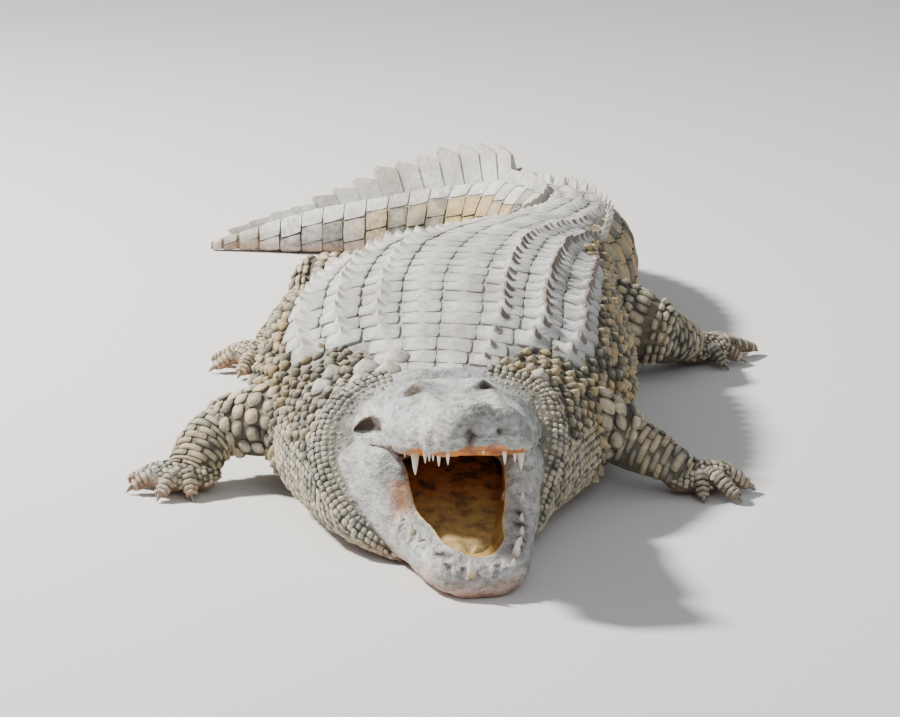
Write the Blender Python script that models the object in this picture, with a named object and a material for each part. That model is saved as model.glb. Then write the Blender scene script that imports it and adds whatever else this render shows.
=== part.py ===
"""An adult Nile crocodile lying on its belly with its jaws open, as a life-size museum model.

Metres, +Z up. The head points along -Y and the origin is on the floor under the belly.
The whole body is described first and then parted, so neighbouring pieces share their faces.
"""

import math

import bmesh
import bpy
import numpy as np

PARTING = 0.0003  # gap left between two neighbouring pieces
FLOOR = 0.0
BELOW_FLOOR = -0.01  # where a cutter ends, so that it never shares a face with the floor
SLOPE_STEP = 0.002  # half the distance over which a line's direction is read
SHARP_EDGE = math.radians(40)
BODY_SIDES = 20
LIMB_SIDES = 10
LIMB_RINGS = 9
DIGIT_SIDES = 7

# The trunk's line seen from above, and the section on it:
# x, y, half width, top, height of the widest point, squareness of the back, of the belly.
BODY = (
    (0.025, -1.240, 0.100, 0.110, 0.060, 2.2, 2.8),
    (0.000, -1.120, 0.185, 0.180, 0.085, 2.2, 2.8),
    (-0.022, -1.000, 0.246, 0.240, 0.105, 2.3, 2.9),
    (-0.032, -0.850, 0.296, 0.284, 0.118, 2.3, 3.0),
    (-0.026, -0.700, 0.342, 0.302, 0.128, 2.3, 3.0),
    (-0.020, -0.520, 0.385, 0.345, 0.140, 2.3, 3.0),
    (-0.006, -0.250, 0.396, 0.378, 0.150, 2.3, 3.0),
    (0.035, 0.020, 0.360, 0.386, 0.155, 2.3, 3.0),
    (0.098, 0.280, 0.292, 0.370, 0.155, 2.2, 2.9),
    (0.165, 0.500, 0.232, 0.345, 0.150, 2.1, 2.8),
    (0.235, 0.720, 0.195, 0.318, 0.135, 2.0, 2.7),
    (0.290, 0.960, 0.170, 0.292, 0.120, 2.0, 2.6),
    (0.300, 1.215, 0.144, 0.268, 0.105, 1.9, 2.5),
    (0.238, 1.450, 0.118, 0.244, 0.092, 1.8, 2.4),
    (0.105, 1.630, 0.094, 0.218, 0.080, 1.7, 2.3),
    (-0.075, 1.715, 0.074, 0.184, 0.068, 1.7, 2.2),
    (-0.270, 1.748, 0.056, 0.140, 0.052, 1.7, 2.2),
    (-0.460, 1.765, 0.036, 0.088, 0.034, 1.8, 2.1),
    (-0.635, 1.775, 0.010, 0.030, 0.012, 2.0, 2.0),
)
BELLY_SINK = 1.05  # the belly's round is this much deeper than the floor lets it be, which leaves a flat
# Where the body is parted: metres along it from the throat's front to the tail's tip, and rings.
BODY_PARTS = (
    ("neck", 0.0, 0.58, 9),
    ("trunk_front", 0.58, 1.13, 7),
    ("trunk_rear", 1.13, 1.80, 8),
    ("tail_1", 1.80, 2.245, 7),
    ("tail_2", 2.245, 2.595, 6),
    ("tail_3", 2.595, 2.95, 7),
    ("tail_4", 2.95, 3.31, 6),
    ("tail_5", 3.31, 3.73, 6),
)
# The jaws part from the neck and throat on a plane that slants down and forward from the skull's rear.
CREASE_AT = (-0.015, -0.865, 0.240)
CREASE_SLANT = math.radians(41)

# The tail's crests: two rows that close up and become one. Metres along the body, and scutes in a row.
DOUBLE_CREST = (1.93, 2.84, 14)
SINGLE_CREST = (2.92, 3.64, 13)
# At the front and rear end of each: the angle from the back's ridge, and the scutes' share of full size.
DOUBLE_CREST_ENDS = ((0.80, 0.35), (0.18, 0.90))
SINGLE_CREST_ENDS = ((0.0, 1.0), (0.0, 0.35))
CREST_HEIGHT, SCUTE_THICK, SCUTE_SUNK = 0.056, 0.010, 0.012
SCUTE_FILL = 0.86  # a scute's length over the distance from one to the next
SCUTE_TOP, SCUTE_LEAN, SCUTE_SPLAY = 0.5, 0.45, 0.5  # its top's length, its lean back and its lean out

# The head turns from the body's line and its jaws open on one joint.
JAW_JOINT = (-0.018, -0.862, 0.160)
HEAD_TURN = math.radians(8)
UPPER_PITCH = math.radians(13.0)
UPPER_UNDERSIDE, LOWER_TOP, LOWER_BELLY = 5.0, 4.0, 2.6  # how square these sides of the jaws are
TROUGH_TOP, TROUGH_FLOOR = 6.0, 2.4
LOWER_WIDEST = 0.62  # share of the way from keel to rim where the lower jaw is widest
LIP_LIFT, LIP_OVER = 0.4, 0.004  # the upper jaw's widest line over the tooth line, by its depth and flat
TIP_RINGS = 1.5  # over one, the rings along a jaw are closer together at its tip
# distance before the joint, half width, height over the tooth line, depth under it, squareness
UPPER_JAW = (
    (-0.060, 0.150, 0.092, 0.020, 1.9),
    (0.020, 0.180, 0.112, 0.016, 2.0),
    (0.100, 0.184, 0.114, 0.012, 2.1),
    (0.170, 0.166, 0.108, 0.012, 2.2),
    (0.250, 0.142, 0.092, 0.014, 2.4),
    (0.350, 0.132, 0.076, 0.022, 2.6),
    (0.430, 0.112, 0.066, 0.014, 2.5),
    (0.490, 0.100, 0.068, 0.018, 2.4),
    (0.530, 0.088, 0.070, 0.020, 2.3),
    (0.552, 0.064, 0.058, 0.012, 2.1),
    (0.560, 0.034, 0.040, 0.000, 2.0),
)
# distance before the joint, half width, rim height over the floor, keel height over the floor
LOWER_JAW = (
    (-0.100, 0.150, 0.200, 0.060),
    (-0.020, 0.186, 0.206, 0.030),
    (0.060, 0.194, 0.196, 0.004),
    (0.120, 0.190, 0.172, -0.004),
    (0.200, 0.168, 0.146, -0.006),
    (0.300, 0.142, 0.120, -0.006),
    (0.400, 0.118, 0.100, -0.006),
    (0.480, 0.098, 0.088, -0.004),
    (0.525, 0.078, 0.080, 0.000),
    (0.548, 0.052, 0.070, 0.008),
    (0.557, 0.024, 0.054, 0.024),
)
# distance before the joint, half width and floor of the trough between the two rami
MOUTH_FLOOR = (
    (-0.100, 0.080, 0.105),
    (0.060, 0.108, 0.092),
    (0.200, 0.100, 0.070),
    (0.330, 0.070, 0.056),
    (0.430, 0.040, 0.054),
    (0.470, 0.016, 0.062),
)
TROUGH_WIDEST, TROUGH_RISE = 0.15, 0.045  # height where the trough is widest, and what it rises over that
TONGUE_LENGTH, TONGUE_WIDTH, TONGUE_ROUND = 0.36, 0.58, 2.4  # width is a share of the trough's
TONGUE_OVER, TONGUE_ABOVE, TONGUE_BELOW = 0.018, 0.018, 0.005  # its middle's height over the trough
TONGUE_BLUNT, TONGUE_LEAST = 6, 0.2
# distance before the joint and length of each tooth, on the animal's left and right sides
UPPER_TEETH = (
    (0.540, 0.008, 0.010), (0.515, 0.022, 0.026), (0.488, 0.026, 0.022), (0.440, 0.016, 0.018),
    (0.405, 0.020, 0.022), (0.360, 0.036, 0.044), (0.318, 0.020, 0.020), (0.270, 0.016, 0.016),
)
LOWER_TEETH = (
    (0.535, 0.012, 0.014), (0.508, 0.014, 0.024), (0.470, 0.038, 0.018), (0.425, 0.016, 0.012),
    (0.375, 0.016, 0.014), (0.325, 0.018, 0.018), (0.275, 0.014, 0.014),
)
TOOTH_SLIM = 0.33  # radius at the root over length
TOOTH_SUNK, TOOTH_POINT, TOOTH_BACK, GUM = 0.012, 0.15, 0.008, 0.004
UPPER_TOOTH_LEAN, LOWER_TOOTH_LEAN = 0.10, 0.12  # backward and outward, over its length
UPPER_TOOTH_OUT, LOWER_TOOTH_OUT = 0.80, 0.72  # share of the jaw's half width
BROW = (0.034, 0.050, 0.026)
NOSTRIL_AT, NOSTRIL_MOUND = (0.528, 0.070), (0.036, 0.034, 0.020)  # before the joint, over the tooth line
EYE_AT = (0.064, 0.170, 0.106)  # a brow's middle: to the side, before the joint, over the tooth line
EYE_RADIUS, EYE_OUT, EYE_AHEAD = 0.021, 0.014, 0.006

# Each leg: points x, y, z with half width and half thickness, then the digits' tips.
# "left" and "right" are the animal's own.
LEGS = {
    "arm_left": (
        (("upper_arm", ((0.190, -0.655, 0.150, 0.085, 0.085), (0.270, -0.650, 0.142, 0.082, 0.080),
                        (0.335, -0.635, 0.122, 0.066, 0.064))),
         ("forearm", ((0.335, -0.630, 0.110, 0.064, 0.060), (0.400, -0.650, 0.082, 0.060, 0.052),
                      (0.468, -0.668, 0.050, 0.050, 0.036)))),
        (0.500, -0.664, 0.034, 0.054, 0.032),
        ((0.508, -0.732, 0.016), (0.572, -0.744, 0.017), (0.602, -0.660, 0.016),
         (0.590, -0.590, 0.014), (0.540, -0.570, 0.013)),
    ),
    "arm_right": (
        (("upper_arm", ((-0.270, -0.630, 0.145, 0.085, 0.085), (-0.370, -0.590, 0.130, 0.080, 0.078),
                        (-0.450, -0.545, 0.110, 0.066, 0.062))),
         ("forearm", ((-0.440, -0.545, 0.115, 0.064, 0.060), (-0.495, -0.590, 0.086, 0.062, 0.052),
                      (-0.525, -0.640, 0.050, 0.054, 0.038)))),
        (-0.538, -0.655, 0.034, 0.056, 0.032),
        ((-0.520, -0.722, 0.016), (-0.580, -0.728, 0.017), (-0.638, -0.672, 0.016),
         (-0.645, -0.610, 0.014), (-0.602, -0.575, 0.013)),
    ),
    "leg_left": (
        (("thigh", ((0.215, 0.370, 0.175, 0.110, 0.105), (0.340, 0.360, 0.140, 0.105, 0.098),
                    (0.450, 0.340, 0.110, 0.085, 0.082))),
         ("shank", ((0.440, 0.340, 0.105, 0.080, 0.076), (0.505, 0.390, 0.080, 0.068, 0.062),
                    (0.540, 0.455, 0.055, 0.054, 0.044)))),
        (0.570, 0.470, 0.036, 0.060, 0.034),
        ((0.628, 0.410, 0.016), (0.668, 0.462, 0.017), (0.705, 0.560, 0.016), (0.668, 0.630, 0.014)),
    ),
    "leg_right": (
        (("thigh", ((-0.020, 0.500, 0.180, 0.110, 0.105), (-0.150, 0.530, 0.158, 0.108, 0.100),
                    (-0.300, 0.560, 0.142, 0.094, 0.096))),
         ("shank", ((-0.290, 0.545, 0.130, 0.084, 0.084), (-0.350, 0.490, 0.095, 0.068, 0.064),
                    (-0.400, 0.440, 0.058, 0.054, 0.046)))),
        (-0.430, 0.420, 0.036, 0.062, 0.034),
        ((-0.425, 0.335, 0.016), (-0.475, 0.320, 0.017), (-0.535, 0.380, 0.016), (-0.540, 0.455, 0.014)),
    ),
}
DIGIT_ROOT, DIGIT_TIP = 0.022, 0.014
CLAW_LENGTH, CLAW_ROOT, CLAW_POINT = 0.024, 0.0078, 0.2
CLAW_UP, CLAW_HOOK = 0.003, 0.006  # how far over the digit's tip a claw starts, and how far its point drops
CLAWED_DIGITS = 3
DIGIT_ARCH = 0.012  # how far a digit's middle rises over the line to its tip
PALM_REACH = 0.03  # half the distance between the palm's end sections
LIMB_END, LIMB_END_LEAST = 0.8, 0.14  # a length's rounded end, over its half width, and its last section

HIDE = (0.42, 0.41, 0.37, 1.0)
IVORY = (0.80, 0.76, 0.66, 1.0)
MOUTH_LINING = (0.55, 0.30, 0.12, 1.0)
EYE_TONE = (0.25, 0.22, 0.10, 1.0)


def finish(name, colour, roughness):
    material = bpy.data.materials.new(name)
    material.use_nodes = True
    shader = material.node_tree.nodes["Principled BSDF"]
    shader.inputs["Base Color"].default_value = colour
    shader.inputs["Roughness"].default_value = roughness
    shader.inputs["Metallic"].default_value = 0.0
    return material


def smooth_rows(rows, at, knots=None):
    """Rows read at the given distances along them, on a smooth curve through each column.

    A jaw's rows begin with that distance, and the distances along other rows come as knots.
    """
    rows = np.asarray(rows, float)
    knots = rows[:, 0] if knots is None else knots
    slopes = np.gradient(rows, knots, axis=0)
    at = np.clip(at, knots[0], knots[-1])
    i = np.clip(np.searchsorted(knots, at, side="right") - 1, 0, len(knots) - 2)
    span = (knots[i + 1] - knots[i])[:, None]
    u = (at - knots[i])[:, None] / span
    first = (1 + 2 * u) * (1 - u) ** 2 * rows[i] + u * (1 - u) ** 2 * span * slopes[i]
    return first + u * u * (3 - 2 * u) * rows[i + 1] + u * u * (u - 1) * span * slopes[i + 1]


def distances(points):
    """How far along the line through some points each of them lies."""
    return np.concatenate([[0.0], np.cumsum(np.linalg.norm(np.diff(points, axis=0), axis=1))])


def rounded(angle, squareness_up, squareness_down):
    """A section's unit outline: sideways and upward shares at an angle from the top."""
    power = 2 / np.where(np.cos(angle) >= 0, squareness_up, squareness_down)
    side = np.sign(np.sin(angle)) * np.abs(np.sin(angle)) ** power
    rise = np.sign(np.cos(angle)) * np.abs(np.cos(angle)) ** power
    return side, rise


def loft(name, place, rings, sides, material):
    """A closed form: a sphere whose rings are carried to place(share along, angle)."""
    form = bmesh.new()
    bmesh.ops.create_uvsphere(form, u_segments=sides, v_segments=rings + 1, radius=1.0)
    start = np.array([v.co for v in form.verts])
    ring = np.rint(np.arccos(np.clip(start[:, 2], -1, 1)) / math.pi * (rings + 1)).astype(int)
    angle = np.arctan2(start[:, 1], start[:, 0])
    points = place(np.clip((ring - 1) / (rings - 1), 0.0, 1.0), angle)
    for pole, beside in ((0, 1), (rings + 1, rings)):
        points[ring == pole] = points[ring == beside].mean(axis=0)
    for vertex, point in zip(form.verts, points):
        vertex.co = point
    return object_of(name, form, material)


def object_of(name, form, material):
    if form.calc_volume(signed=True) < 0:
        bmesh.ops.reverse_faces(form, faces=form.faces[:])
    mesh = bpy.data.meshes.new(name)
    form.to_mesh(mesh)
    form.free()
    mesh.materials.append(material)
    mesh.shade_smooth()
    mesh.set_sharp_from_angle(angle=SHARP_EDGE)
    made = bpy.data.objects.new(name, mesh)
    parts.objects.link(made)
    return made


def combine(piece, others, operation, solver="EXACT"):
    """Unites the piece with others or cuts it by them, and keeps the result as its mesh."""
    for other in others:
        modifier = piece.modifiers.new("join", "BOOLEAN")
        modifier.operation = operation
        modifier.solver = solver
        modifier.object = other
    evaluated = piece.evaluated_get(bpy.context.evaluated_depsgraph_get())
    mesh = bpy.data.meshes.new_from_object(evaluated)
    piece.modifiers.clear()
    piece.data = mesh
    return piece


def keep_main(piece):
    """Removes the loose chips that a rounded end leaves where it comes out beyond its neighbour."""
    form = bmesh.new()
    form.from_mesh(piece.data)
    islands, left = [], set(form.verts)
    while left:
        island, edge = set(), {left.pop()}
        while edge:
            island |= edge
            edge = {e.other_vert(v) for v in edge for e in v.link_edges} - island
        left -= island
        islands.append(island)
    for island in sorted(islands, key=len)[:-1]:
        bmesh.ops.delete(form, geom=list(island), context="VERTS")
    form.to_mesh(piece.data)
    form.free()
    return piece


def drop(objects):
    for made in objects:
        bpy.data.objects.remove(made)


# ---- neck, trunk and tail ----

BODY_KNOTS = distances(np.array(BODY)[:, :2])
BODY_LENGTH = BODY_KNOTS[-1]


def body_frame(at):
    """The body's rows and its line's direction, at distances along it."""
    rows = smooth_rows(BODY, at, BODY_KNOTS)
    ahead = smooth_rows(BODY, at + SLOPE_STEP, BODY_KNOTS)[:, :2]
    behind = smooth_rows(BODY, at - SLOPE_STEP, BODY_KNOTS)[:, :2]
    way = ahead - behind
    way /= np.linalg.norm(way, axis=1)[:, None]
    return rows, way


def body_place(at, angle, grow=0.0, floor=FLOOR):
    """The body's outer surface at a distance along it and an angle from the ridge of the back."""
    rows, way = body_frame(at)
    x, y, half, top, middle, back, belly = rows.T
    side, rise = rounded(angle, back, belly)
    out = side * (half + grow)
    above = middle + rise * (top - middle + grow)
    below = middle + rise * (middle * BELLY_SINK + grow)
    height = np.maximum(np.where(rise >= 0, above, below), floor)
    return np.stack([x + way[:, 1] * out, y - way[:, 0] * out, height], axis=1)


def body_part(name, start, end, rings, material):
    first, last = start + PARTING / 2, end - PARTING / 2

    def place(along, angle):
        return body_place(first + (last - first) * along, angle)

    return loft(name, place, rings, BODY_SIDES, material)


def whole_body(material):
    """The body a parting's width larger, on the rings of its parts, to cut the legs' roots with."""
    rings = [np.linspace(start, end, count)[:-1] for _, start, end, count in BODY_PARTS]
    stations = np.concatenate(rings + [[BODY_PARTS[-1][2]]])

    def place(along, angle):
        ring = np.rint(along * (len(stations) - 1)).astype(int)
        return body_place(stations[ring], angle, PARTING * 3, BELOW_FLOOR)

    return loft("whole_body", place, len(stations), BODY_SIDES, material)


def crest_scutes(material):
    """The upright scutes on the tail, each with the distance along the body where it stands."""
    made = []
    for (start, end, count), ends, hands in ((DOUBLE_CREST, DOUBLE_CREST_ENDS, (-1, 1)),
                                             (SINGLE_CREST, SINGLE_CREST_ENDS, (1,))):
        for share in np.linspace(0.0, 1.0, count):
            at = start + (end - start) * share
            angle, size = np.array(ends[0]) * (1 - share) + np.array(ends[1]) * share
            for hand in hands:
                spacing = (end - start) / (count - 1)
                made.append((at, crest_scute(at, hand * angle, size, spacing, material)))
    return made


def crest_scute(at, angle, size, spacing, material):
    """One scute: a thin blade that leans back, with its root sunk in the tail."""
    before, after = body_place(np.array([at - spacing / 2, at + spacing / 2]), np.array([angle, angle]))
    root, reach = (before + after) / 2, (after - before) * SCUTE_FILL / 2
    way = reach / np.linalg.norm(reach)
    across = np.cross(way, (0.0, 0.0, 1.0))
    rise = np.cross(across, way) + across * math.sin(angle) * SCUTE_SPLAY
    form = bmesh.new()
    bmesh.ops.create_cone(form, cap_ends=True, segments=4, radius1=1.0, radius2=SCUTE_TOP, depth=1.0)
    for vertex in form.verts:
        u, v, w = vertex.co
        up = w + 0.5
        vertex.co = (root + reach * (u + SCUTE_LEAN * up) + across * v * SCUTE_THICK * size
                     + rise * (up * (CREST_HEIGHT * size + SCUTE_SUNK) - SCUTE_SUNK))
    return object_of("scute", form, material)


# ---- head ----

def head_axes():
    forward = np.array([math.sin(HEAD_TURN), -math.cos(HEAD_TURN), 0.0])
    left = np.array([math.cos(HEAD_TURN), math.sin(HEAD_TURN), 0.0])
    return forward, left, np.array([0.0, 0.0, 1.0])


def on_upper(side, ahead, over):
    """World points from places on the upper jaw, which is pitched up at the joint."""
    forward, left, lift = head_axes()
    along = ahead * math.cos(UPPER_PITCH) - over * math.sin(UPPER_PITCH)
    height = ahead * math.sin(UPPER_PITCH) + over * math.cos(UPPER_PITCH)
    return np.array(JAW_JOINT) + np.outer(side, left) + np.outer(along, forward) + np.outer(height, lift)


def on_lower(side, ahead, height):
    """World points from places on the lower jaw, with heights over the floor."""
    forward, left, lift = head_axes()
    joint = np.array([JAW_JOINT[0], JAW_JOINT[1], 0.0])
    return joint + np.outer(side, left) + np.outer(ahead, forward) + np.outer(height, lift)


def taper(along):
    """Shares along a jaw, closer together at its tip."""
    return 1 - (1 - along) ** TIP_RINGS


def upper_place(along, angle, grow=0.0):
    ahead = UPPER_JAW[0][0] + taper(along) * (UPPER_JAW[-1][0] - UPPER_JAW[0][0])
    rows = smooth_rows(UPPER_JAW, ahead)
    side, rise = rounded(angle, rows[:, 4], UPPER_UNDERSIDE)
    over = np.where(rise >= 0, rise * rows[:, 2], rise * rows[:, 3]) + rows[:, 3] * LIP_LIFT + LIP_OVER
    return on_upper(side * (rows[:, 1] + grow), ahead, over + rise * grow)


def lower_place(along, angle):
    ahead = LOWER_JAW[0][0] + taper(along) * (LOWER_JAW[-1][0] - LOWER_JAW[0][0])
    rows = smooth_rows(LOWER_JAW, ahead)
    rim, keel = rows[:, 2], rows[:, 3]
    middle = rim * LOWER_WIDEST + keel * (1 - LOWER_WIDEST)
    side, rise = rounded(angle, LOWER_TOP, LOWER_BELLY)
    height = middle + rise * np.where(rise >= 0, rim - middle, middle - keel)
    return on_lower(side * rows[:, 1], ahead, np.maximum(height, FLOOR))


def trough_place(along, angle):
    """The space between the rami that is cut out of the lower jaw, open upwards."""
    first, last = MOUTH_FLOOR[0][0], MOUTH_FLOOR[-1][0]
    ahead = first + along * (last - first)
    rows = smooth_rows(MOUTH_FLOOR, ahead)
    side, rise = rounded(angle, TROUGH_TOP, TROUGH_FLOOR)
    height = TROUGH_WIDEST + rise * np.where(rise >= 0, TROUGH_RISE, TROUGH_WIDEST - rows[:, 2])
    return on_lower(side * rows[:, 1], ahead, height)


def tongue_place(along, angle):
    ahead = along * TONGUE_LENGTH
    rows = smooth_rows(MOUTH_FLOOR, ahead)
    swell = np.sqrt(np.clip(1 - (2 * along - 1) ** TONGUE_BLUNT, TONGUE_LEAST ** 2, 1))
    side, rise = rounded(angle, TONGUE_ROUND, TONGUE_ROUND)
    height = rows[:, 2] + TONGUE_OVER + rise * swell * np.where(rise >= 0, TONGUE_ABOVE, TONGUE_BELOW)
    return on_lower(side * rows[:, 1] * TONGUE_WIDTH * swell, ahead, height)


def tooth(root, down, length, lean, material):
    """A cone whose root is sunk in the gum. Its tip leans back along the given way."""
    form = bmesh.new()
    bmesh.ops.create_cone(form, cap_ends=True, segments=5, radius1=1.0, radius2=TOOTH_POINT, depth=1.0)
    forward, left, _ = head_axes()
    for vertex in form.verts:
        u, v, w = vertex.co
        far = w + 0.5
        radius = length * TOOTH_SLIM
        vertex.co = (root + forward * u * radius + left * v * radius
                     + down * (far * (length + TOOTH_SUNK) - TOOTH_SUNK) + lean * far * far * length)
    return object_of("tooth", form, material)


def upper_teeth(material):
    made = []
    forward, left, lift = head_axes()
    down = -lift * math.cos(UPPER_PITCH) + forward * math.sin(UPPER_PITCH)
    for ahead, on_left, on_right in UPPER_TEETH:
        row = smooth_rows(UPPER_JAW, np.array([ahead]))[0]
        for hand, length in ((1, on_left), (-1, on_right)):
            root = on_upper(np.array([hand * row[1] * UPPER_TOOTH_OUT]), np.array([ahead - TOOTH_BACK]),
                            np.array([-row[3] * (1 - LIP_LIFT) + LIP_OVER]))[0]
            made.append(tooth(root, down, length, -forward * UPPER_TOOTH_LEAN, material))
    return made


def lower_teeth(material):
    made = []
    forward, left, lift = head_axes()
    for ahead, on_left, on_right in LOWER_TEETH:
        row = smooth_rows(LOWER_JAW, np.array([ahead]))[0]
        for hand, length in ((1, on_left), (-1, on_right)):
            root = on_lower(np.array([hand * row[1] * LOWER_TOOTH_OUT]), np.array([ahead - TOOTH_BACK]),
                            np.array([row[2] - GUM]))[0]
            made.append(tooth(root, lift, length, left * hand * LOWER_TOOTH_LEAN, material))
    return made


def ellipsoid(name, centre, radii, material):
    form = bmesh.new()
    bmesh.ops.create_uvsphere(form, u_segments=10, v_segments=7, radius=1.0)
    for vertex in form.verts:
        vertex.co = np.asarray(centre) + np.array(vertex.co) * radii
    return object_of(name, form, material)


def cut_flat(piece, at, away):
    """Cuts off what lies beyond a plane, on the side that away points to, and closes the cut."""
    form = bmesh.new()
    form.from_mesh(piece.data)
    bmesh.ops.bisect_plane(form, geom=form.verts[:] + form.edges[:] + form.faces[:], dist=1e-6,
                           plane_co=at, plane_no=away, clear_outer=True)
    bmesh.ops.holes_fill(form, edges=[e for e in form.edges if e.is_boundary], sides=0)
    bmesh.ops.triangulate(form, faces=[f for f in form.faces if len(f.verts) > 4])
    form.to_mesh(piece.data)
    form.free()
    return piece


def part_at_crease(piece, head_side):
    """Keeps the head's side of the crease behind the jaws, or the neck's side, half a parting away."""
    forward, _, lift = head_axes()
    ahead = forward * math.sin(CREASE_SLANT) + lift * math.cos(CREASE_SLANT)
    away = -ahead if head_side else ahead
    return cut_flat(piece, np.array(CREASE_AT) - away * PARTING / 2, away)


def rest_on_floor(piece):
    return cut_flat(piece, (0.0, 0.0, FLOOR), (0.0, 0.0, -1.0))


def make_head(hide, ivory, lining, eye_tone):
    upper = loft("head_upper", upper_place, 20, 18, hide)
    joined = []
    for hand in (-1, 1):
        x, ahead, over = EYE_AT
        brow = on_upper(np.array([hand * x]), np.array([ahead]), np.array([over]))[0]
        joined.append(ellipsoid("brow", brow, BROW, hide))
    nostrils = on_upper(np.array([0.0]), np.array([NOSTRIL_AT[0]]), np.array([NOSTRIL_AT[1]]))[0]
    joined.append(ellipsoid("nostril_mound", nostrils, NOSTRIL_MOUND, hide))
    joined += upper_teeth(ivory)
    combine(upper, joined, "UNION")
    drop(joined)
    part_at_crease(upper, True)

    lower = loft("lower_jaw", lower_place, 19, 18, hide)
    trough = loft("trough", trough_place, 9, 12, lining)
    above = loft("above", lambda along, angle: upper_place(along, angle, PARTING * 2), 20, 18, hide)
    keep_main(combine(lower, [trough, above], "DIFFERENCE"))
    drop([above])
    teeth = lower_teeth(ivory)
    combine(lower, teeth, "UNION")
    drop(teeth)
    part_at_crease(lower, True)

    loft("tongue", tongue_place, 8, 12, lining)
    for hand, name in ((1, "eye_left"), (-1, "eye_right")):
        x, ahead, over = EYE_AT
        place = (hand * (x + EYE_OUT), ahead + EYE_AHEAD, over)
        centre = on_upper(*(np.array([value]) for value in place))[0]
        eye = ellipsoid(name, centre, (EYE_RADIUS,) * 3, eye_tone)
        hollow = ellipsoid("hollow", centre, (EYE_RADIUS + PARTING * 2,) * 3, eye_tone)
        combine(upper, [hollow], "DIFFERENCE")
        drop([hollow])
    return trough


# ---- legs ----

def limb_place(rows, grow=0.0):
    """The surface of one length of a leg with rounded ends, before it is cut level with the floor."""
    points = np.array(rows)
    knots = distances(points[:, :3])
    length = knots[-1]

    def place(along, angle):
        ends = (points[0, 3] * LIMB_END, points[-1, 3] * LIMB_END)
        reach = -ends[0] + along * (length + ends[0] + ends[1])
        inside = np.clip(reach, 0.0, length)
        row = smooth_rows(rows, inside, knots)
        ahead = smooth_rows(rows, inside + SLOPE_STEP, knots)[:, :3]
        behind = smooth_rows(rows, inside - SLOPE_STEP, knots)[:, :3]
        way = (ahead - behind) / np.linalg.norm(ahead - behind, axis=1)[:, None]
        past = reach - inside
        bulge = np.where(past < 0, ends[0], ends[1])
        narrow = np.sqrt(np.clip(1 - (past / bulge) ** 2, LIMB_END_LEAST ** 2, 1))
        across = np.cross(way, (0.0, 0.0, 1.0))
        across /= np.linalg.norm(across, axis=1)[:, None]
        over = np.cross(across, way)
        point = (row[:, :3] + way * past[:, None]
                 + across * (np.sin(angle) * (row[:, 3] * narrow + grow))[:, None]
                 + over * (np.cos(angle) * (row[:, 4] * narrow + grow))[:, None])
        return point

    return place


def digit(palm, tip, clawed, hide, ivory):
    """One digit from the palm to its tip, and its claw."""
    start = np.array(palm[:3])
    end = np.array(tip)
    middle = (start + end) / 2 + np.array([0.0, 0.0, DIGIT_ARCH])
    rows = ((*start, DIGIT_ROOT, DIGIT_ROOT), (*middle, DIGIT_ROOT, DIGIT_ROOT), (*end, DIGIT_TIP, DIGIT_TIP))
    made = [loft("digit", limb_place(rows), 6, DIGIT_SIDES, hide)]
    if clawed:
        way = (end - middle) / np.linalg.norm(end - middle)
        made.append(claw(end, way, ivory))
    return made


def claw(root, way, ivory):
    across = np.cross(way, (0.0, 0.0, 1.0))
    across /= np.linalg.norm(across)
    over = np.cross(across, way)
    form = bmesh.new()
    bmesh.ops.create_cone(form, cap_ends=True, segments=5, radius1=1.0, radius2=CLAW_POINT, depth=1.0)
    for vertex in form.verts:
        u, v, w = vertex.co
        far = w + 0.5
        point = (root + way * far * CLAW_LENGTH + across * u * CLAW_ROOT
                 + over * (v * CLAW_ROOT + CLAW_UP - far * far * CLAW_HOOK))
        vertex.co = point
    return object_of("claw", form, ivory)


def make_leg(name, hide, ivory, body_cutter):
    """The two lengths of a leg and its foot. The wrist or ankle is a plane across the leg's end."""
    lengths, palm, tips = LEGS[name]
    hand = "left" if name.endswith("left") else "right"
    wrist = np.array(lengths[1][1][-1][:3])
    heading = np.mean(tips, axis=0) - wrist
    heading[2] = 0.0
    heading /= np.linalg.norm(heading)

    (upper_name, upper_rows), (lower_name, lower_rows) = lengths
    upper = loft(f"{upper_name}_{hand}", limb_place(upper_rows), LIMB_RINGS, LIMB_SIDES, hide)
    rest_on_floor(keep_main(combine(upper, [body_cutter], "DIFFERENCE")))
    socket = loft("cutter", limb_place(upper_rows, PARTING), LIMB_RINGS, LIMB_SIDES, hide)
    lower = loft(f"{lower_name}_{hand}", limb_place(lower_rows), LIMB_RINGS, LIMB_SIDES, hide)
    cut_flat(keep_main(combine(lower, [socket, body_cutter], "DIFFERENCE")), wrist, heading)
    rest_on_floor(lower)

    foot_name = ("hand" if name.startswith("arm") else "foot") + f"_{hand}"
    middle, half, thick = np.array(palm[:3]), palm[3], palm[4]
    palm_rows = [(*(middle + heading * reach), half, thick) for reach in (-PALM_REACH, PALM_REACH)]
    foot = loft(foot_name, limb_place(palm_rows), 8, LIMB_SIDES, hide)
    extra = []
    for i, tip in enumerate(tips):
        extra += digit(palm, tip, i < CLAWED_DIGITS, hide, ivory)
    # The exact solver leaves doubled faces where a claw meets its digit's tip.
    combine(foot, extra, "UNION", "MANIFOLD")
    combine(foot, [body_cutter, socket], "DIFFERENCE", "MANIFOLD")
    cut_flat(foot, wrist + heading * PARTING, -heading)
    rest_on_floor(foot)
    drop(extra + [socket])


def make_body(hide, throat):
    """Neck, trunk and tail. The throat is the hollow behind the tongue, which reaches into the neck."""
    scutes = crest_scutes(hide)
    for name, start, end, rings in BODY_PARTS:
        part = body_part(name, start, end, rings, hide)
        if name == "neck":
            combine(part_at_crease(part, False), [throat], "DIFFERENCE")
        mine = [made for at, made in scutes if start < at < end]
        if mine:
            combine(part, mine, "UNION")
    drop([made for _, made in scutes] + [throat])


for leftover in list(bpy.data.objects):
    bpy.data.objects.remove(leftover)

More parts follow.
